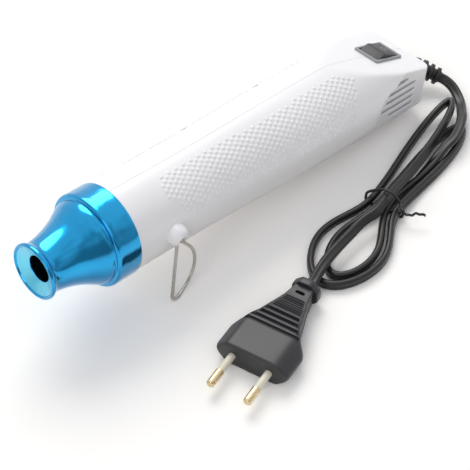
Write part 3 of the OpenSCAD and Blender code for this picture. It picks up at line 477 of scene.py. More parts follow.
eighths = (np.arange(64) + 0.5) / 64 * 2 * math.pi
octagon = 1 / np.sum(
    [np.clip(np.cos(eighths - k * math.pi / 4), 0, None) ** 26 for k in range(8)], axis=0
) ** (1 / 26)
octagon = np.stack([octagon * np.cos(eighths), octagon * np.sin(eighths)], 1)
collar, collar_faces = stacked(
    [octagon * r for r in (4.6, 6.1, 6.6, 6.75, 6.75, 6.6, 6.1, 3.4)],
    (0.3, 0.3, 0.15, -0.3, -3.0, -3.35, -3.4, -3.4)
)
collar = np.stack([collar[:, 2] - plug_length, collar[:, 0], collar[:, 1]], 1)
collar_piece = make_piece("plug_collar", placed(collar, plug_place), collar_faces, plug_pvc, crease=45)


def joined(keep, others):
    with bpy.context.temp_override(active_object=keep, selected_editable_objects=[keep] + others):
        bpy.ops.object.join()
    return keep


plug = joined(moulding, [collar_piece])
plug.name = "plug_moulding"
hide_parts("plug_body")
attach(plug, "housing")


# Pins and sleeves. Two turned brass pins, 4 mm thick with rounded ends and a centre mark,
# moulded into the plug; a cream nylon sleeve covers the half of each that is next to it.
def turned_part(profile, sides=40):
    """A turned solid about local X, from [station, radius] points."""
    profile = np.asarray(profile, float)
    bend = np.linspace(0, 2 * math.pi, sides, endpoint=False)
    rings = np.stack([
        profile[:, :1] + 0 * bend, profile[:, 1:] * np.cos(bend), profile[:, 1:] * np.sin(bend),
    ], -1)
    last = (len(profile) - 1) * sides
    return rings.reshape(-1, 3), grid_faces(len(profile), sides) + [
        list(range(sides)), list(range(last, last + sides))
    ]


# Brass bar: fine rings left by the lathe, a little duller in patches.
brass, tree = empty_material("turned_brass")
place = add(tree, "ShaderNodeTexCoord").outputs["Object"]
lathe = add(tree, "ShaderNodeTexNoise", {"Vector": place, "Scale": 900.0, "Detail": 2.0})
shade = add(
    tree, "ShaderNodeMix", {0: lathe.outputs["Fac"], 6: tone("#C9B184"), 7: tone("#E2D3AE")},
    data_type="RGBA"
)
rough = add(tree, "ShaderNodeMapRange", {"Value": lathe.outputs["Fac"], "To Min": 0.2, "To Max": 0.38})
skin = add(
    tree, "ShaderNodeBsdfPrincipled",
    {"Base Color": shade.outputs[2], "Roughness": rough.outputs[0], "Metallic": 1.0}
)
add(tree, "ShaderNodeOutputMaterial", {"Surface": skin.outputs[0]})

cream_nylon, tree = empty_material("cream_nylon")  # moulded nylon: waxy, lets a little light in
place = add(tree, "ShaderNodeTexCoord").outputs["Object"]
cloud = add(tree, "ShaderNodeTexNoise", {"Vector": place, "Scale": 260.0, "Detail": 3.0})
shade = add(
    tree, "ShaderNodeMix", {0: cloud.outputs["Fac"], 6: tone("#DCD6C2"), 7: tone("#EEE9D8")},
    data_type="RGBA"
)
rough = add(tree, "ShaderNodeMapRange", {"Value": cloud.outputs["Fac"], "To Min": 0.34, "To Max": 0.46})
skin = add(
    tree, "ShaderNodeBsdfPrincipled",
    {"Base Color": shade.outputs[2], "Roughness": rough.outputs[0], "IOR": 1.53}
)
add(tree, "ShaderNodeOutputMaterial", {"Surface": skin.outputs[0]})

pin_line = [
    (-3, 0), (-3, 1.3), (10.1, 1.3), (10.1, 1.85), (10.25, 2.0), (17.6, 2.0), (18.1, 1.93), (18.5, 1.72),
    (18.8, 1.4), (18.95, 1.0), (18.97, 0.6), (18.7, 0.35), (18.55, 0),
]
sleeve_line = [(-2, 0), (-2, 1.75), (9.7, 1.75), (9.9, 1.68), (10.0, 1.5), (10.0, 1.32), (10.0, 0)]
made = {}
for kind, line, finish in (("plug_pins", pin_line, brass), ("pin_sleeves", sleeve_line, cream_nylon)):
    both = []
    for y in (-9.2, 9.2):
        rings, pin_faces = turned_part(line)
        both.append(
            make_piece(
                kind + "_turned", placed(rings + np.array([0, y, 0]), plug_place), pin_faces, finish
            )
        )
    made[kind] = joined(both[0], both[1:])
    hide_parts(kind)
    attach(made[kind], "housing")


# Where the tool lies. Its own line runs from the outlet's lip to the tail; the fan's joint
# in the frame gives that line, so every piece of the barrel is drawn straight and then laid.
fan_joint = next(j for j in frame["joints"] if j["name"] == "fan_spin")
tool_line = Vector(fan_joint["axis"]).normalized()
pitch = math.asin(-tool_line.z)
lip = Vector(fan_joint["pos_m"]) - tool_line * 0.1082
tool_place = Matrix.Translation(lip) @ Matrix.Rotation(pitch, 4, "Y")


# Strain relief. Soft black PVC moulded round the cord: a collar held in the tail, then a
# tapering core with round fins that let it bend.
boot_place = tool_place @ Matrix.Translation((0.239, 0, -0.008)) @ Matrix.Rotation(
    math.radians(-70), 4, "X"
)
boot_bend = 14.0
boot_turned = math.radians(62)
boot_straight = 7.6
boot_fins = 6
boot_full = boot_bend * boot_turned + boot_straight
boot_run = np.concatenate([np.arange(-2.0, 3.0, 0.5), np.arange(3.0, 3.0 + boot_full + 0.02, 0.15)])
turned = np.clip((boot_run - 3.0) / boot_bend, 0, boot_turned)
straight = np.clip(boot_run - 3.0 - boot_bend * boot_turned, 0, None)
boot_route = np.stack([
    np.minimum(boot_run, 3) + boot_bend * np.sin(turned) + straight * math.cos(boot_turned),
    0 * turned,
    -boot_bend * (1 - np.cos(turned)) - straight * math.sin(boot_turned),
], 1)
way = np.clip((boot_run - 3) / boot_full, 0, 1)
boot_radius = np.where(boot_run < 3, 4.2, 3.75 - 0.65 * way)
for i in range(boot_fins):
    fin = (i + 0.5) / boot_fins
    off = np.abs(boot_run - 3 - fin * boot_full)
    boot_radius = np.maximum(
        boot_radius, boot_radius + (5.6 - 1.1 * fin - boot_radius) * smooth((1.2 - off) / 0.4)
    )
around = np.linspace(0, 2 * math.pi, 40, endpoint=False)
ring = np.stack([np.cos(around), np.sin(around)], 1)
points, faces = swept(boot_route, ring[None] * boot_radius[:, None, None], up=(0, 1, 0))
boot = make_piece("strain_relief_boot", placed(points, boot_place), faces, flex_pvc, crease=55)
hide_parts("strain_relief")
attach(boot, "housing")


# Half shells. White ABS, injection moulded in two mirrored halves that close on a line along
# the top and the bottom; the tail is flattened on top for the switch and on both sides for
# the air vents, and the far half has five deep recesses for the screws.
def barrel_radius(x):
    return 22 + 2 * smooth((x - 72) / 93.0)


side_outline = np.array(
    [(
        208.5 + 13.5 * math.cos(math.radians(a)), -5.5 + 13.5 * math.sin(math.radians(a))
    ) for a in np.linspace(90, 270, 40)]
    + [(268.5, -19), (268.5, 40), (234.5, 40), (219, 13.5)]
)


def outside_distance(x, z, outline):
    """How far points are outside an outline, less than zero within it."""
    best = np.full(np.shape(x), 1e9)
    within = np.zeros(np.shape(x), bool)
    for (ax, az), (bx, bz) in zip(outline, np.roll(outline, -1, axis=0)):
        ex, ez = bx - ax, bz - az
        t = np.clip(((x - ax) * ex + (z - az) * ez) / (ex * ex + ez * ez), 0, 1)
        best = np.minimum(best, np.hypot(x - ax - t * ex, z - az - t * ez))
        crosses = (az > z) != (bz > z)
        reach = ax + (z - az) * ex / (ez if abs(ez) > 1e-12 else 1e-12)
        within ^= crosses & (x < reach)
    return np.where(within, -best, best)


def soft_least(a, b, k):
    h = np.clip(0.5 + 0.5 * (b - a) / k, 0, 1)
    return b + (a - b) * h - k * h * (1 - h)


def shell_radius(x, angle):
    """Outer radius of the barrel, by station and by angle from the top, both halves alike."""
    rim = np.clip(x - 234, 0, 5)
    r = np.where(x > 234, 19 + np.sqrt(np.clip(25 - rim * rim, 0, None)), barrel_radius(x))
    up = np.maximum(np.cos(angle), 1e-3)
    out = np.maximum(np.sin(angle), 1e-3)
    flat_top = (12.9 - math.tan(math.radians(16)) * (x - 219)) / up
    flat_top = np.where(np.cos(angle) > 0.02, flat_top, 99)
    plan = np.where(x > 233, 14 + np.sqrt(np.clip(36 - np.clip(x - 233, 0, 6) ** 2, 0, None)), 20)
    flat_side = np.where(np.sin(angle) > 0.02, plan / out, 99)
    mid = np.minimum(r, flat_side)
    depth = -outside_distance(x, mid * np.cos(angle), side_outline)
    shaped = r + (np.minimum(r, flat_side) - r) * smooth((depth + 0.35) / 0.9)
    shaped = np.where(depth > 4, soft_least(r, flat_side, 1.0), shaped)
    shaped = soft_least(shaped, flat_top, 1.6)
    edge = np.clip(x - 237.6, 0, 1.4)
    return shaped - (1.4 - np.sqrt(np.clip(1.96 - edge * edge, 0, None)))


def half_shell(name, side, finish):
    stations = np.concatenate([
        np.arange(42.3, 188, 1.7), np.arange(188, 237.6, 0.42),
        237.6 + 1.4 * np.sin(np.radians(np.linspace(0, 90, 9))),
    ])
    near = np.array([0.04, 0.14, 0.26, 0.42, 0.7, 1.1, 1.7])
    middle = np.linspace(2.4, 180 * 0.419 - 2.4, 94)
    part = np.concatenate([near, middle, 180 * 0.419 - near[::-1]]) / 0.419
    x, angle = np.meshgrid(stations, np.radians(part), indexing="ij")
    outer = shell_radius(x, angle)
    edge = outer * np.minimum(angle, math.pi - angle)
    outer = outer - 0.1 * np.exp(-((edge - 0.04) / 0.12) ** 2)
    front = np.array([(35.0, 20.4), (35.0, 21.4), (35.25, 21.65), (42.1, 21.65), (42.1, 21.8)])
    rows_x = np.concatenate([np.repeat(front[:, :1], len(part), 1), x])
    rows_r = np.concatenate([np.repeat(front[:, 1:], len(part), 1), outer])
    inner_end = outer[-9] - 2.0
    fractions = np.array([0.93, 0.82, 0.66, 0.48, 0.3, 0.12, 0.0])[:, None]
    rows_x = np.concatenate([rows_x, np.full((7, len(part)), 239.0)])
    rows_r = np.concatenate([rows_r, outer[-1][None] * fractions])
    cap_x = np.full((7, len(part)), 237.0)
    cap_r = inner_end[None] * fractions[::-1]
    inner_x = x[:-9][::-1]
    inner_r = (outer[:-9] - 2.0)[::-1]
    rows_x = np.concatenate([rows_x, cap_x, inner_x, np.full((1, len(part)), 35.0)])
    rows_r = np.concatenate([rows_r, cap_r, inner_r, np.full((1, len(part)), 20.4)])
    full = np.broadcast_to(np.radians(part), rows_r.shape)
    y = rows_r * np.sin(full)
    y = np.maximum(y, 0.04)
    rings = np.stack([rows_x, side * y, rows_r * np.cos(full)], -1)
    rows, columns = rows_r.shape
    faces = grid_faces(rows, columns, wrap=False)
    pole = len(front) + len(stations) + 6
    pairs = [(k, rows - 1) for k in range(len(front))]
    pairs += [(len(front) + k, rows - 2 - min(k, len(stations) - 10)) for k in range(len(stations))]
    pairs += [(pole - 6 + k, pole + 7 - k) for k in range(7)]
    lips = []
    for column in (0, columns - 1):
        for (a, b), (c, d) in zip(pairs, pairs[1:]):
            corners = list(dict.fromkeys([a, c, d, b]))
            if len(corners) > 2:
                lips.append([row * columns + column for row in corners])
    return make_piece(name, placed(rings, tool_place), faces + lips, finish, crease=32)


# ABS from a polished mould: bright white, satin, faint flow clouds.
abs_white, tree = empty_material("moulded_white_abs")
place = add(tree, "ShaderNodeTexCoord").outputs["Object"]
fine = add(tree, "ShaderNodeTexNoise", {"Vector": place, "Scale": 1800.0, "Detail": 2.0})
flow = add(tree, "ShaderNodeTexNoise", {"Vector": place, "Scale": 22.0, "Detail": 3.0})
shade = add(
    tree, "ShaderNodeMix", {0: flow.outputs["Fac"], 6: tone("#EDEDF0"), 7: tone("#F5F5F8")},
    data_type="RGBA"
)
rough = add(tree, "ShaderNodeMapRange", {"Value": flow.outputs["Fac"], "To Min": 0.28, "To Max": 0.4})
bump = add(tree, "ShaderNodeBump", {"Height": fine.outputs["Fac"], "Strength": 0.06, "Distance": 0.0001})
skin = add(
    tree, "ShaderNodeBsdfPrincipled",
    {
        "Base Color": shade.outputs[2], "Roughness": rough.outputs[0], "IOR": 1.54,
        "Normal": bump.outputs["Normal"],
    }
)
add(tree, "ShaderNodeOutputMaterial", {"Surface": skin.outputs[0]})

near_shell = half_shell("near_half_shell", -1, abs_white)
far_shell = half_shell("far_half_shell", 1, abs_white)

dome_line = smooth_route(
    [
        (0, -1.5, 0), (5.1, -1.4, 0), (5.1, 0.2, 0), (4.95, 2.2, 0), (4.5, 3.8, 0), (3.5, 5.2, 0),
        (2.0, 6.05, 0), (0.6, 6.3, 0), (0, 6.3, 0),
    ],
    0.35
)
for shell, side in ((near_shell, -1), (far_shell, 1)):
    rings, dome_faces = turned_part(np.stack([dome_line[:, 1], dome_line[:, 0]], 1), 56)
    rings = np.stack([62.4 + rings[:, 1], side * (21.2 + rings[:, 0]), 0.8 + rings[:, 2]], 1)
    cut(shell, make_piece("dome", placed(rings, tool_place), dome_faces, abs_white), "UNION")
    outline = stadium(4.4, 2.0, 8)
    outline = np.stack([outline[:, 1] * 1.2, outline[:, 0]], 1)
    slot, slot_faces = stacked([outline, outline, outline * 1.04, outline * 1.14], (0, 3.6, 4.2, 6))
    slot = np.stack([62.4 + slot[:, 0], side * (23.2 + slot[:, 2]), -4.25 + slot[:, 1]], 1)
    cut(shell, make_piece("slot_cutter", placed(slot, tool_place), slot_faces, abs_white))
    for i in range(5):
        z = (i - 2) * 4.3 - 0.5
        x0 = 203 + 0.45 * abs(z + 5) + (4 if i == 0 else 0)
        x1 = 227 - (6.5 if i == 4 else 0)
        vent, vent_faces = stacked(
            [stadium((x1 - x0) / 2 - 1, 1 + f) for f in (0, 0, 0.3, 0.5)], (13, 19.7, 20.05, 24)
        )
        vent = np.stack([(x0 + x1) / 2 + vent[:, 0], side * vent[:, 2], z + vent[:, 1]], 1)
        cut(shell, make_piece("vent_cutter", placed(vent, tool_place), vent_faces, abs_white))

switch_place = tool_place @ Matrix.Translation((0.219, 0, 0.0129)) @ Matrix.Rotation(
    math.radians(16), 4, "Y"
)
corner = np.array([(-9.6, -6.6), (9.6, -6.6), (9.6, 6.6), (-9.6, 6.6)])
for shell in (near_shell, far_shell):
    box, box_faces = stacked([corner, corner], (-9, 6))
    cut(shell, make_piece("switch_cutter", placed(box, switch_place), box_faces, abs_white))

for x, z in ((100.2, 15), (100.2, -15), (147.3, 16.5), (147.3, -16.5), (212, -16)):
    surface = math.sqrt(barrel_radius(x) ** 2 - z * z)
    post, post_faces = turned_part([(4.0, 0), (4.0, 4.0), (surface - 0.8, 4.0), (surface - 0.8, 0)], 48)
    post = np.stack([x + post[:, 1], post[:, 0], z + post[:, 2]], 1)
    within = np.sqrt((barrel_radius(x) - 0.9) ** 2 - post[:, 2] ** 2)
    post[:, 1] = np.where(post[:, 1] > 10, within, post[:, 1])
    cut(far_shell, make_piece("post", placed(post, tool_place), post_faces, abs_white), "UNION")
    hole, hole_faces = turned_part([(9.0, 0), (9.0, 2.8), (30, 2.8), (30, 0)], 48)
    hole = np.stack([x + hole[:, 1], hole[:, 0], z + hole[:, 2]], 1)
    cut(far_shell, make_piece("hole_cutter", placed(hole, tool_place), hole_faces, abs_white))

for shell, node in ((near_shell, "left_shell"), (far_shell, "right_shell")):
    shell.data.shade_smooth()
    shell.data.set_sharp_from_angle(angle=math.radians(32))
    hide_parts(node)
    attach(shell, "housing")


# Grip panels. Low round dots moulded with each half shell, in staggered rows that run
# slantwise round the barrel, so that a warm hand doesn't slip.
panel = np.array([
    (68, 14), (62, 28), (64, 43), (73, 74), (174, 84), (181, 66), (186, 29), (175, 14), (165, 14),
    (140, 19), (119, 18),
])
dot_step = 2.2
row_step = 3.5
dot_radius = 0.00095
dot_height = 0.00036
places = [(
    x0 * dot_step + 60, row * row_step
) for x0 in range(60) for row in range(3, 26) if (x0 + row) % 2 == 0]
places = np.array(places)
places = places[outside_distance(places[:, 0], places[:, 1], panel) < 0]

dots_tree = bpy.data.node_groups.new("grip_dots", "GeometryNodeTree")
dots_tree.interface.new_socket("Geometry", in_out="INPUT", socket_type="NodeSocketGeometry")
radius_input = dots_tree.interface.new_socket("Dot radius", in_out="INPUT", socket_type="NodeSocketFloat")
height_input = dots_tree.interface.new_socket("Dot height", in_out="INPUT", socket_type="NodeSocketFloat")
dots_tree.interface.new_socket("Geometry", in_out="OUTPUT", socket_type="NodeSocketGeometry")
given = add(dots_tree, "NodeGroupInput")
ball = add(dots_tree, "GeometryNodeMeshUVSphere", {"Segments": 10, "Rings": 6, "Radius": 1.0})
size = add(
    dots_tree, "ShaderNodeCombineXYZ",
    {0: given.outputs["Dot radius"], 1: given.outputs["Dot radius"], 2: given.outputs["Dot height"]}
)
dot = add(
    dots_tree, "GeometryNodeTransform", {"Geometry": ball.outputs["Mesh"], "Scale": size.outputs[0]}
)
outward = add(dots_tree, "GeometryNodeInputNamedAttribute", {"Name": "outward"}, data_type="FLOAT_VECTOR")
stand = add(
    dots_tree, "FunctionNodeAlignRotationToVector", {"Vector": outward.outputs["Attribute"]}, axis="Z"
)
spread = add(
    dots_tree, "GeometryNodeInstanceOnPoints",
    {
        "Points": given.outputs["Geometry"], "Instance": dot.outputs["Geometry"],
        "Rotation": stand.outputs["Rotation"],
    }
)
real = add(dots_tree, "GeometryNodeRealizeInstances", {"Geometry": spread.outputs["Instances"]})
round_ = add(dots_tree, "GeometryNodeSetShadeSmooth", {0: real.outputs[0], "Shade Smooth": True})
coated = add(dots_tree, "GeometryNodeSetMaterial", {"Geometry": round_.outputs[0], "Material": abs_white})
add(dots_tree, "NodeGroupOutput", {"Geometry": coated.outputs[0]})

screw_clear = 3.9
for name, side, upper, screws in (
    ("near_grip_dots", -1, 0, ()), ("far_grip_dots", 1, 38, ((100.2, 15), (147.3, 16.5)))
):
    x, angle = places[places[:, 1] > upper].T
    angle = np.radians(angle)
    r = shell_radius(x, angle)
    for screw_x, screw_z in screws:
        clear = np.hypot(x - screw_x, r * np.cos(angle) - screw_z) > screw_clear
        x, angle, r = x[clear], angle[clear], r[clear]
    flare = (shell_radius(x + 0.5, angle) - shell_radius(x - 0.5, angle))
    spots = np.stack([x, side * r * np.sin(angle), r * np.cos(angle)], 1)
    out = np.stack([-flare, side * np.sin(angle), np.cos(angle)], 1)
    out = out @ np.array(tool_place.to_3x3()).T
    mesh = bpy.data.meshes.new(name)
    mesh.from_pydata(placed(spots, tool_place).tolist(), [], [])
    facing = mesh.attributes.new("outward", "FLOAT_VECTOR", "POINT")
    facing.data.foreach_set("vector", (out / np.linalg.norm(out, axis=1)[:, None]).ravel())
    carrier = bpy.data.objects.new(name, mesh)
    bpy.context.collection.objects.link(carrier)
    grow = carrier.modifiers.new("dots", "NODES")
    grow.node_group = dots_tree
    grow[radius_input.identifier] = dot_radius
    grow[height_input.identifier] = dot_height
    graph = bpy.context.evaluated_depsgraph_get()
    dots_mesh = bpy.data.meshes.new_from_object(carrier.evaluated_get(graph))
    bpy.data.objects.remove(carrier)
    dots = bpy.data.objects.new(name, dots_mesh)
    bpy.context.collection.objects.link(dots)
    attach(dots, "housing")


# Nozzle cover. Steel sheet 0.8 mm thick, spun to a flared dome with a straight band, its lip
# rolled into a dished face round the outlet, then polished and dipped in clear blue lacquer.
cover_points = [
    (0.7, 11.8), (0.2, 12.1), (0.0, 12.45), (0.06, 12.95), (0.45, 13.3), (1.0, 13.42), (1.7, 13.36),
    (2.5, 12.8), (3.3, 12.42),
    (5, 12.2), (9, 12.7), (14, 13.9), (19, 15.7), (23, 17.7), (26, 19.3), (28, 20.05), (29.1, 20.2),
    (29.35, 20.35), (29.4, 20.6), (29.45, 21.3), (29.7, 21.95), (30.2, 22.35), (31, 22.5),
    (34, 22.5), (38, 22.5), (41.6, 22.5), (42, 22.46),
]
curve = smooth_route([(x, r, 0) for x, r in cover_points], 0.3)[:, :2]
dish = np.linspace((3.35, 6.3), (0.75, 11.75), 14)
outside = np.concatenate([[(4.4, 6.3), (3.6, 6.3), (3.42, 6.38)], dish[1:], curve])
slope = np.gradient(outside[3:], axis=0)
slope /= np.linalg.norm(slope, axis=1)[:, None]
inside = outside[3:] + 0.8 * np.stack([slope[:, 1], -slope[:, 0]], 1)
inside[:, 0] = np.minimum(inside[:, 0], 42)
inside = inside[inside[:, 0] > 1.2]
inside[:, 1] = np.maximum(inside[:, 1], 6.3)
keep = [0]
for k in range(1, len(inside)):
    if np.dot(inside[k] - inside[keep[-1]], slope[min(k, len(slope) - 1)]) > 0.02:
        keep.append(k)
inside = inside[keep]
loop_line = np.concatenate([outside, [(42, 21.9)], inside[::-1]])
bend = np.linspace(0, 2 * math.pi, 144, endpoint=False)
rings = np.stack(
    [loop_line[:, :1] + 0 * bend, loop_line[:, 1:] * np.cos(bend), loop_line[:, 1:] * np.sin(bend)], -1
)
cover_faces = grid_faces(len(loop_line), 144)
first = np.arange(144)
last = (len(loop_line) - 1) * 144 + first
cover_faces += np.stack([last, np.roll(last, -1), np.roll(first, -1), first], 1).tolist()

# Bright metal seen through blue: deep in the shade, cyan where lit.
blue_lacquer, tree = empty_material("clear_blue_lacquer_on_steel")
place = add(tree, "ShaderNodeTexCoord").outputs["Object"]
streak = add(tree, "ShaderNodeTexNoise", {"Vector": place, "Scale": 60.0, "Detail": 3.0})
shade = add(
    tree, "ShaderNodeMix", {0: streak.outputs["Fac"], 6: tone("#0A86BE"), 7: tone("#16A0DA")},
    data_type="RGBA"
)
swirl = add(tree, "ShaderNodeTexNoise", {"Vector": place, "Scale": 75.0, "Detail": 1.0})
ripple = add(
    tree, "ShaderNodeBump", {"Height": swirl.outputs["Fac"], "Strength": 0.35, "Distance": 0.0016}
)
rough = add(tree, "ShaderNodeMapRange", {"Value": streak.outputs["Fac"], "To Min": 0.13, "To Max": 0.22})
skin = add(
    tree, "ShaderNodeBsdfPrincipled",
    {
        "Base Color": shade.outputs[2], "Roughness": rough.outputs[0], "Metallic": 1.0,
        "Coat Weight": 0.5, "Coat Roughness": 0.05, "Normal": ripple.outputs["Normal"],
    }
)
add(tree, "ShaderNodeOutputMaterial", {"Surface": skin.outputs[0]})

# The same lacquer on the dished lip, painted pale cyan: a painted reflection of the bright light that the
# lip face shows.
lip_reflection_lacquer, tree = empty_material("blue_lacquer_with_painted_lip_reflection")
place = add(tree, "ShaderNodeTexCoord").outputs["Object"]
lip_cloud = add(tree, "ShaderNodeTexNoise", {"Vector": place, "Scale": 110.0, "Detail": 2.0})
shade = add(
    tree, "ShaderNodeMix", {0: lip_cloud.outputs["Fac"], 6: tone("#4CC8EE"), 7: tone("#7ADDF6")},
    data_type="RGBA"
)
skin = add(
    tree, "ShaderNodeBsdfPrincipled",
    {
        "Base Color": shade.outputs[2], "Roughness": 0.34, "Metallic": 0.55, "Coat Weight": 0.5,
        "Coat Roughness": 0.06,
    }
)
add(tree, "ShaderNodeOutputMaterial", {"Surface": skin.outputs[0]})

cover = make_piece(
    "nozzle_cover_spun", placed(rings, tool_place), cover_faces, [blue_lacquer, lip_reflection_lacquer], crease=50
)
# The faces of the dished lip take the second finish, the pale cyan painted reflection.
from_lip = tool_place.inverted()
for face in cover.data.polygons:
    spot = from_lip @ face.center * 1000
    if math.hypot(spot.y, spot.z) < 11.7 and 0.7 < spot.x < 3.5 and (
        from_lip.to_3x3() @ face.normal
    ).x < -0.5:
        face.material_index = 1
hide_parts("nozzle_cover")
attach(cover, "housing")


# Switch. A grey nylon housing pressed into the sloping flat, its bezel resting on it, and a
# black rocker with a steep front and a long rear face that carries the printed off mark.
def round_corners(half_u, half_v, r, count=6):
    parts = []
    for k, (su, sv) in enumerate(((1, 1), (-1, 1), (-1, -1), (1, -1))):
        a = np.radians(np.linspace(90 * k, 90 * k + 90, count))
        parts.append(np.stack([su * (half_u - r) + r * np.cos(a), sv * (half_v - r) + r * np.sin(a)], 1))
    return np.concatenate(parts)


bezel_levels = [
    (9.5, 6.5, 0.4, -12), (9.5, 6.5, 0.4, 0), (10.4, 7.4, 0.9, 0), (10.5, 7.5, 0.9, 0.1),
    (10.5, 7.5, 0.9, 0.9),
    (10.4, 7.4, 0.8, 1.1), (9.9, 6.9, 0.7, 1.2), (9.2, 6.45, 0.4, 1.2), (9.05, 6.3, 0.3, 1.1),
    (8.9, 6.25, 0.2, 0.7), (8.9, 6.25, 0.2, -4.3), (9.0, 5.5, 0.2, -4.4), (9.0, 5.5, 0.2, -6),
]
housing_rings, housing_faces = stacked(
    [round_corners(u, v, r) for u, v, r, w in bezel_levels], [w for u, v, r, w in bezel_levels]
)

# Glass-filled nylon: matt grey with a fine grain.
switch_grey, tree = empty_material("moulded_grey_nylon")
place = add(tree, "ShaderNodeTexCoord").outputs["Object"]
grain = add(tree, "ShaderNodeTexNoise", {"Vector": place, "Scale": 1500.0, "Detail": 3.0})
shade = add(
    tree, "ShaderNodeMix", {0: grain.outputs["Fac"], 6: tone("#8A8C90"), 7: tone("#9FA1A5")},
    data_type="RGBA"
)
bump = add(tree, "ShaderNodeBump", {"Height": grain.outputs["Fac"], "Strength": 0.2, "Distance": 0.0001})
rough = add(tree, "ShaderNodeMapRange", {"Value": grain.outputs["Fac"], "To Min": 0.34, "To Max": 0.5})
skin = add(
    tree, "ShaderNodeBsdfPrincipled",
    {
        "Base Color": shade.outputs[2], "Roughness": rough.outputs[0], "IOR": 1.53,
        "Normal": bump.outputs["Normal"],
    }
)
add(tree, "ShaderNodeOutputMaterial", {"Surface": skin.outputs[0]})

bezel = make_piece(
    "switch_frame", placed(housing_rings, switch_place), housing_faces, switch_grey, crease=40
)
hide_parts("switch_housing")
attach(bezel, "housing")

# Polycarbonate from a satin mould: black, with light wear that shows as patches of gloss.
switch_black, tree = empty_material("moulded_black_pc")
place = add(tree, "ShaderNodeTexCoord").outputs["Object"]
wear = add(tree, "ShaderNodeTexNoise", {"Vector": place, "Scale": 420.0, "Detail": 4.0})
shade = add(
    tree, "ShaderNodeMix", {0: wear.outputs["Fac"], 6: tone("#141519"), 7: tone("#1D1E23")},
    data_type="RGBA"
)
rough = add(tree, "ShaderNodeMapRange", {"Value": wear.outputs["Fac"], "To Min": 0.42, "To Max": 0.56})
skin = add(
    tree, "ShaderNodeBsdfPrincipled",
    {"Base Color": shade.outputs[2], "Roughness": rough.outputs[0], "IOR": 1.58}
)
add(tree, "ShaderNodeOutputMaterial", {"Surface": skin.outputs[0]})

mark_ink, tree = empty_material("pad_printed_ink")  # thin pale ink: dull, slightly uneven
place = add(tree, "ShaderNodeTexCoord").outputs["Object"]
patch = add(tree, "ShaderNodeTexNoise", {"Vector": place, "Scale": 900.0, "Detail": 2.0})
shade = add(
    tree, "ShaderNodeMix", {0: patch.outputs["Fac"], 6: tone("#8E9094"), 7: tone("#A9ABAE")},
    data_type="RGBA"
)
skin = add(tree, "ShaderNodeBsdfPrincipled", {"Base Color": shade.outputs[2], "Roughness": 0.55})
add(tree, "ShaderNodeOutputMaterial", {"Surface": skin.outputs[0]})

rocker_top = np.array([(-8.4, -0.1), (-3.0, 2.9), (-2.1, 3.0), (7.9, 1.3), (8.4, -1.2), (-8.4, -1.2)])
rocker_foot = np.array([(-8, -1.15), (8.2, -1.15), (3, -3.6), (-3, -3.6)])
halves = []
for side_line, half_y in ((rocker_top, 6.1), (rocker_foot, 5.2)):
    flat_side, side_faces = stacked([side_line, side_line], (-half_y, half_y))
    flat_side = np.stack([flat_side[:, 0], flat_side[:, 2], flat_side[:, 1]], 1)
    halves.append(
        make_piece(
            "switch_rocker_moulded", placed(flat_side, switch_place), side_faces, [switch_black, mark_ink]
        )
    )
rocker = joined(halves[0], halves[1:])
soften = rocker.modifiers.new("edges", "BEVEL")
soften.width = 0.00045
soften.segments = 3
soften.limit_method = "ANGLE"
soften.angle_limit = math.radians(15)
graph = bpy.context.evaluated_depsgraph_get()
rocker_mesh = bpy.data.meshes.new_from_object(rocker.evaluated_get(graph))
rocker.modifiers.clear()
rocker.data = rocker_mesh
rocker.data.shade_smooth()
rocker.data.set_sharp_from_angle(angle=math.radians(40))

turn = np.linspace(0, 2 * math.pi, 40, endpoint=False)
circle = np.stack([np.cos(turn), np.sin(turn)], 1)
off_mark, _ = stacked(
    [circle * 1.1, circle * 1.1, circle * 1.5, circle * 1.5], (-0.15, 0.05, 0.05, -0.15)
)
off_faces = grid_faces(4, 40) + [[120 + i, 120 + (i + 1) % 40, (i + 1) % 40, i] for i in range(40)]
seat = switch_place @ Matrix.Translation((0.0036, 0, 0.00203)) @ Matrix.Rotation(
    math.atan2(1.7, 10), 4, "Y"
)
mark = make_piece("mark", placed(off_mark, seat), off_faces, [switch_black, mark_ink])
for face in mark.data.polygons:
    face.material_index = 1
rocker = joined(rocker, [mark])
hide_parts("switch_rocker")
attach(rocker, "rocker")


# Wire stand. On each side one bent loop of 1.7 mm stainless wire, its two ends turned out
# and sprung into the dome, so that the loop folds along the barrel or stands under it.
def joining_angle(c1, r1, c2, r2):
    dx, dz = c2[0] - c1[0], c2[1] - c1[1]
    return math.degrees(math.atan2(dz, dx) - math.acos((r1 - r2) / math.hypot(dx, dz)))


def arc_points(centre, r, start, end, count):
    return [(
        centre[0] + r * math.cos(math.radians(a)), 0, centre[1] + r * math.sin(math.radians(a))
    ) for a in np.linspace(start, end, count)]


foot, flank, head = (63.7, -36.85), (53.7, -21.72), (62.4, -3.2)
foot_turn = joining_angle(foot, 2.5, flank, 20)
flank_turn = joining_angle(flank, 20, head, 1.2)
wire_line = (
    [(58.9, 0, 0.8), (60.5, 0, 0.8), (60.98, 0, 0.7), (61.17, 0, 0.3), (61.2, 0, -0.4)]
    + [(61.2, 0, z) for z in np.linspace(-3, -36, 12)]
    + arc_points(foot, 2.5, 180, 360 + foot_turn, 16) + arc_points(flank, 20, foot_turn, flank_turn, 18)
    + arc_points(head, 1.2, flank_turn, 0, 8)
    + [(63.6, 0, -2), (63.6, 0, -0.4), (63.63, 0, 0.3), (63.82, 0, 0.7), (64.3, 0, 0.8), (65.9, 0, 0.8)]
)

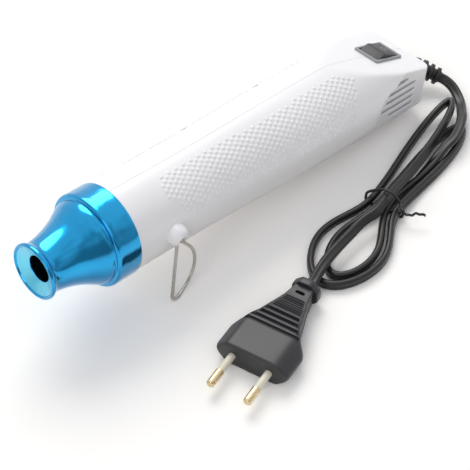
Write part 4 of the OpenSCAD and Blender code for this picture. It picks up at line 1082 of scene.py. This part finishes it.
stainless, tree = empty_material("drawn_stainless_wire")  # drawn wire: bright, with long fine die lines
place = add(tree, "ShaderNodeTexCoord").outputs["Object"]
lines = add(tree, "ShaderNodeTexNoise", {"Vector": place, "Scale": 1300.0, "Detail": 2.0})
shade = add(
    tree, "ShaderNodeMix", {0: lines.outputs["Fac"], 6: tone("#A39D97"), 7: tone("#CFCBC6")},
    data_type="RGBA"
)
rough = add(tree, "ShaderNodeMapRange", {"Value": lines.outputs["Fac"], "To Min": 0.16, "To Max": 0.3})
skin = add(
    tree, "ShaderNodeBsdfPrincipled",
    {"Base Color": shade.outputs[2], "Roughness": rough.outputs[0], "Metallic": 1.0}
)
add(tree, "ShaderNodeOutputMaterial", {"Surface": skin.outputs[0]})

wire_route = smooth_route(wire_line, 0.4)
around = np.linspace(0, 2 * math.pi, 18, endpoint=False)
wire_ring = 0.85 * np.stack([np.cos(around), np.sin(around)], 1)
for node, body, side in (("stand_loop_left", "loop_left", -1), ("stand_loop_right", "loop_right", 1)):
    points, faces = swept(wire_route, wire_ring, up=(0, 1, 0))
    lean_in = math.radians(-side * 1.5)
    seat = tool_place @ Matrix.Translation(
        (0, side * 0.0245, 0.0008)
    ) @ Matrix.Rotation(lean_in, 4, "X") @ Matrix.Translation((0, 0, -0.0008))
    wire = make_piece(node + "_wire", placed(points, seat), faces, stainless, crease=60)
    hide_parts(node)
    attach(wire, body)


# Works inside and small fittings. They keep the shapes of the frame and get their finishes
# here: heater, mica, fan, motor, board, leads, clamp and screws.
works = {
    "zinc_plated_steel": (
        ("#B8BBBF", "#D2D4D6"), 0.22, 0.36, 1.0, 900,
        ["shell_screws", "motor_screws", "clamp_screws", "switch_pivot", "motor_shaft"]
    ),
    "heat_tinted_steel": (
        ("#8A7A66", "#B6AFA6"), 0.25, 0.42, 1.0, 120, ["heater_tube", "thermal_cutoff"]
    ),
    "pressed_motor_steel": (("#A9ACB0", "#C4C6C9"), 0.28, 0.4, 1.0, 600, ["motor_can"]),
    "oxidised_heating_wire": (("#4A4440", "#6B625A"), 0.45, 0.6, 1.0, 500, ["heating_coil"]),
    "muscovite_mica": (("#A88D5E", "#D2BE93"), 0.3, 0.55, 0.0, 350, ["mica_sleeve", "mica_former"]),
    "pressed_fibre_board": (
        ("#B9AE97", "#D0C8B4"), 0.7, 0.85, 0.0, 700, ["front_insulating_ring", "rear_insulating_ring"]
    ),
    "black_nylon": (("#1B1B1D", "#29292C"), 0.4, 0.55, 0.0, 700, ["fan_impeller"]),
    "natural_nylon": (
        ("#DDD8C8", "#ECE8DA"), 0.42, 0.55, 0.0, 400, ["motor_bracket", "motor_endcap", "cord_clamp"]
    ),
    "glass_epoxy_board": (("#2C5B3A", "#3A6E47"), 0.4, 0.55, 0.0, 800, ["rectifier_board"]),
    "black_epoxy": (("#18181A", "#242427"), 0.35, 0.5, 0.0, 800, ["rectifier_diodes"]),
    "printed_pvc_sleeve": (("#20407A", "#2B4F8C"), 0.25, 0.35, 0.0, 300, ["smoothing_capacitor"]),
    "tinned_brass": (("#C7B27C", "#DCCB9C"), 0.25, 0.4, 1.0, 700, ["switch_terminals"]),
    "lead_pvc": (("#2A2B30", "#3A3B41"), 0.4, 0.55, 0.0, 600, ["internal_leads"]),
}
for name, ((dark, light), smooth_end, rough_end, metal, scale, nodes) in works.items():
    finish, tree = empty_material(name)
    place = add(tree, "ShaderNodeTexCoord").outputs["Object"]
    grain = add(tree, "ShaderNodeTexNoise", {"Vector": place, "Scale": float(scale), "Detail": 3.0})
    shade = add(
        tree, "ShaderNodeMix", {0: grain.outputs["Fac"], 6: tone(dark), 7: tone(light)}, data_type="RGBA"
    )
    rough = add(
        tree, "ShaderNodeMapRange",
        {"Value": grain.outputs["Fac"], "To Min": smooth_end, "To Max": rough_end}
    )
    bump = add(
        tree, "ShaderNodeBump", {"Height": grain.outputs["Fac"], "Strength": 0.1, "Distance": 0.0001}
    )
    skin = add(
        tree, "ShaderNodeBsdfPrincipled",
        {
            "Base Color": shade.outputs[2], "Roughness": rough.outputs[0], "Metallic": metal,
            "Normal": bump.outputs["Normal"],
        }
    )
    add(tree, "ShaderNodeOutputMaterial", {"Surface": skin.outputs[0]})
    for node in nodes:
        carried = frame["nodes"][node]
        for k in range(len(carried.material_slots)):
            carried.material_slots[k].material = finish


bpy.context.scene.view_settings.view_transform = "Standard"
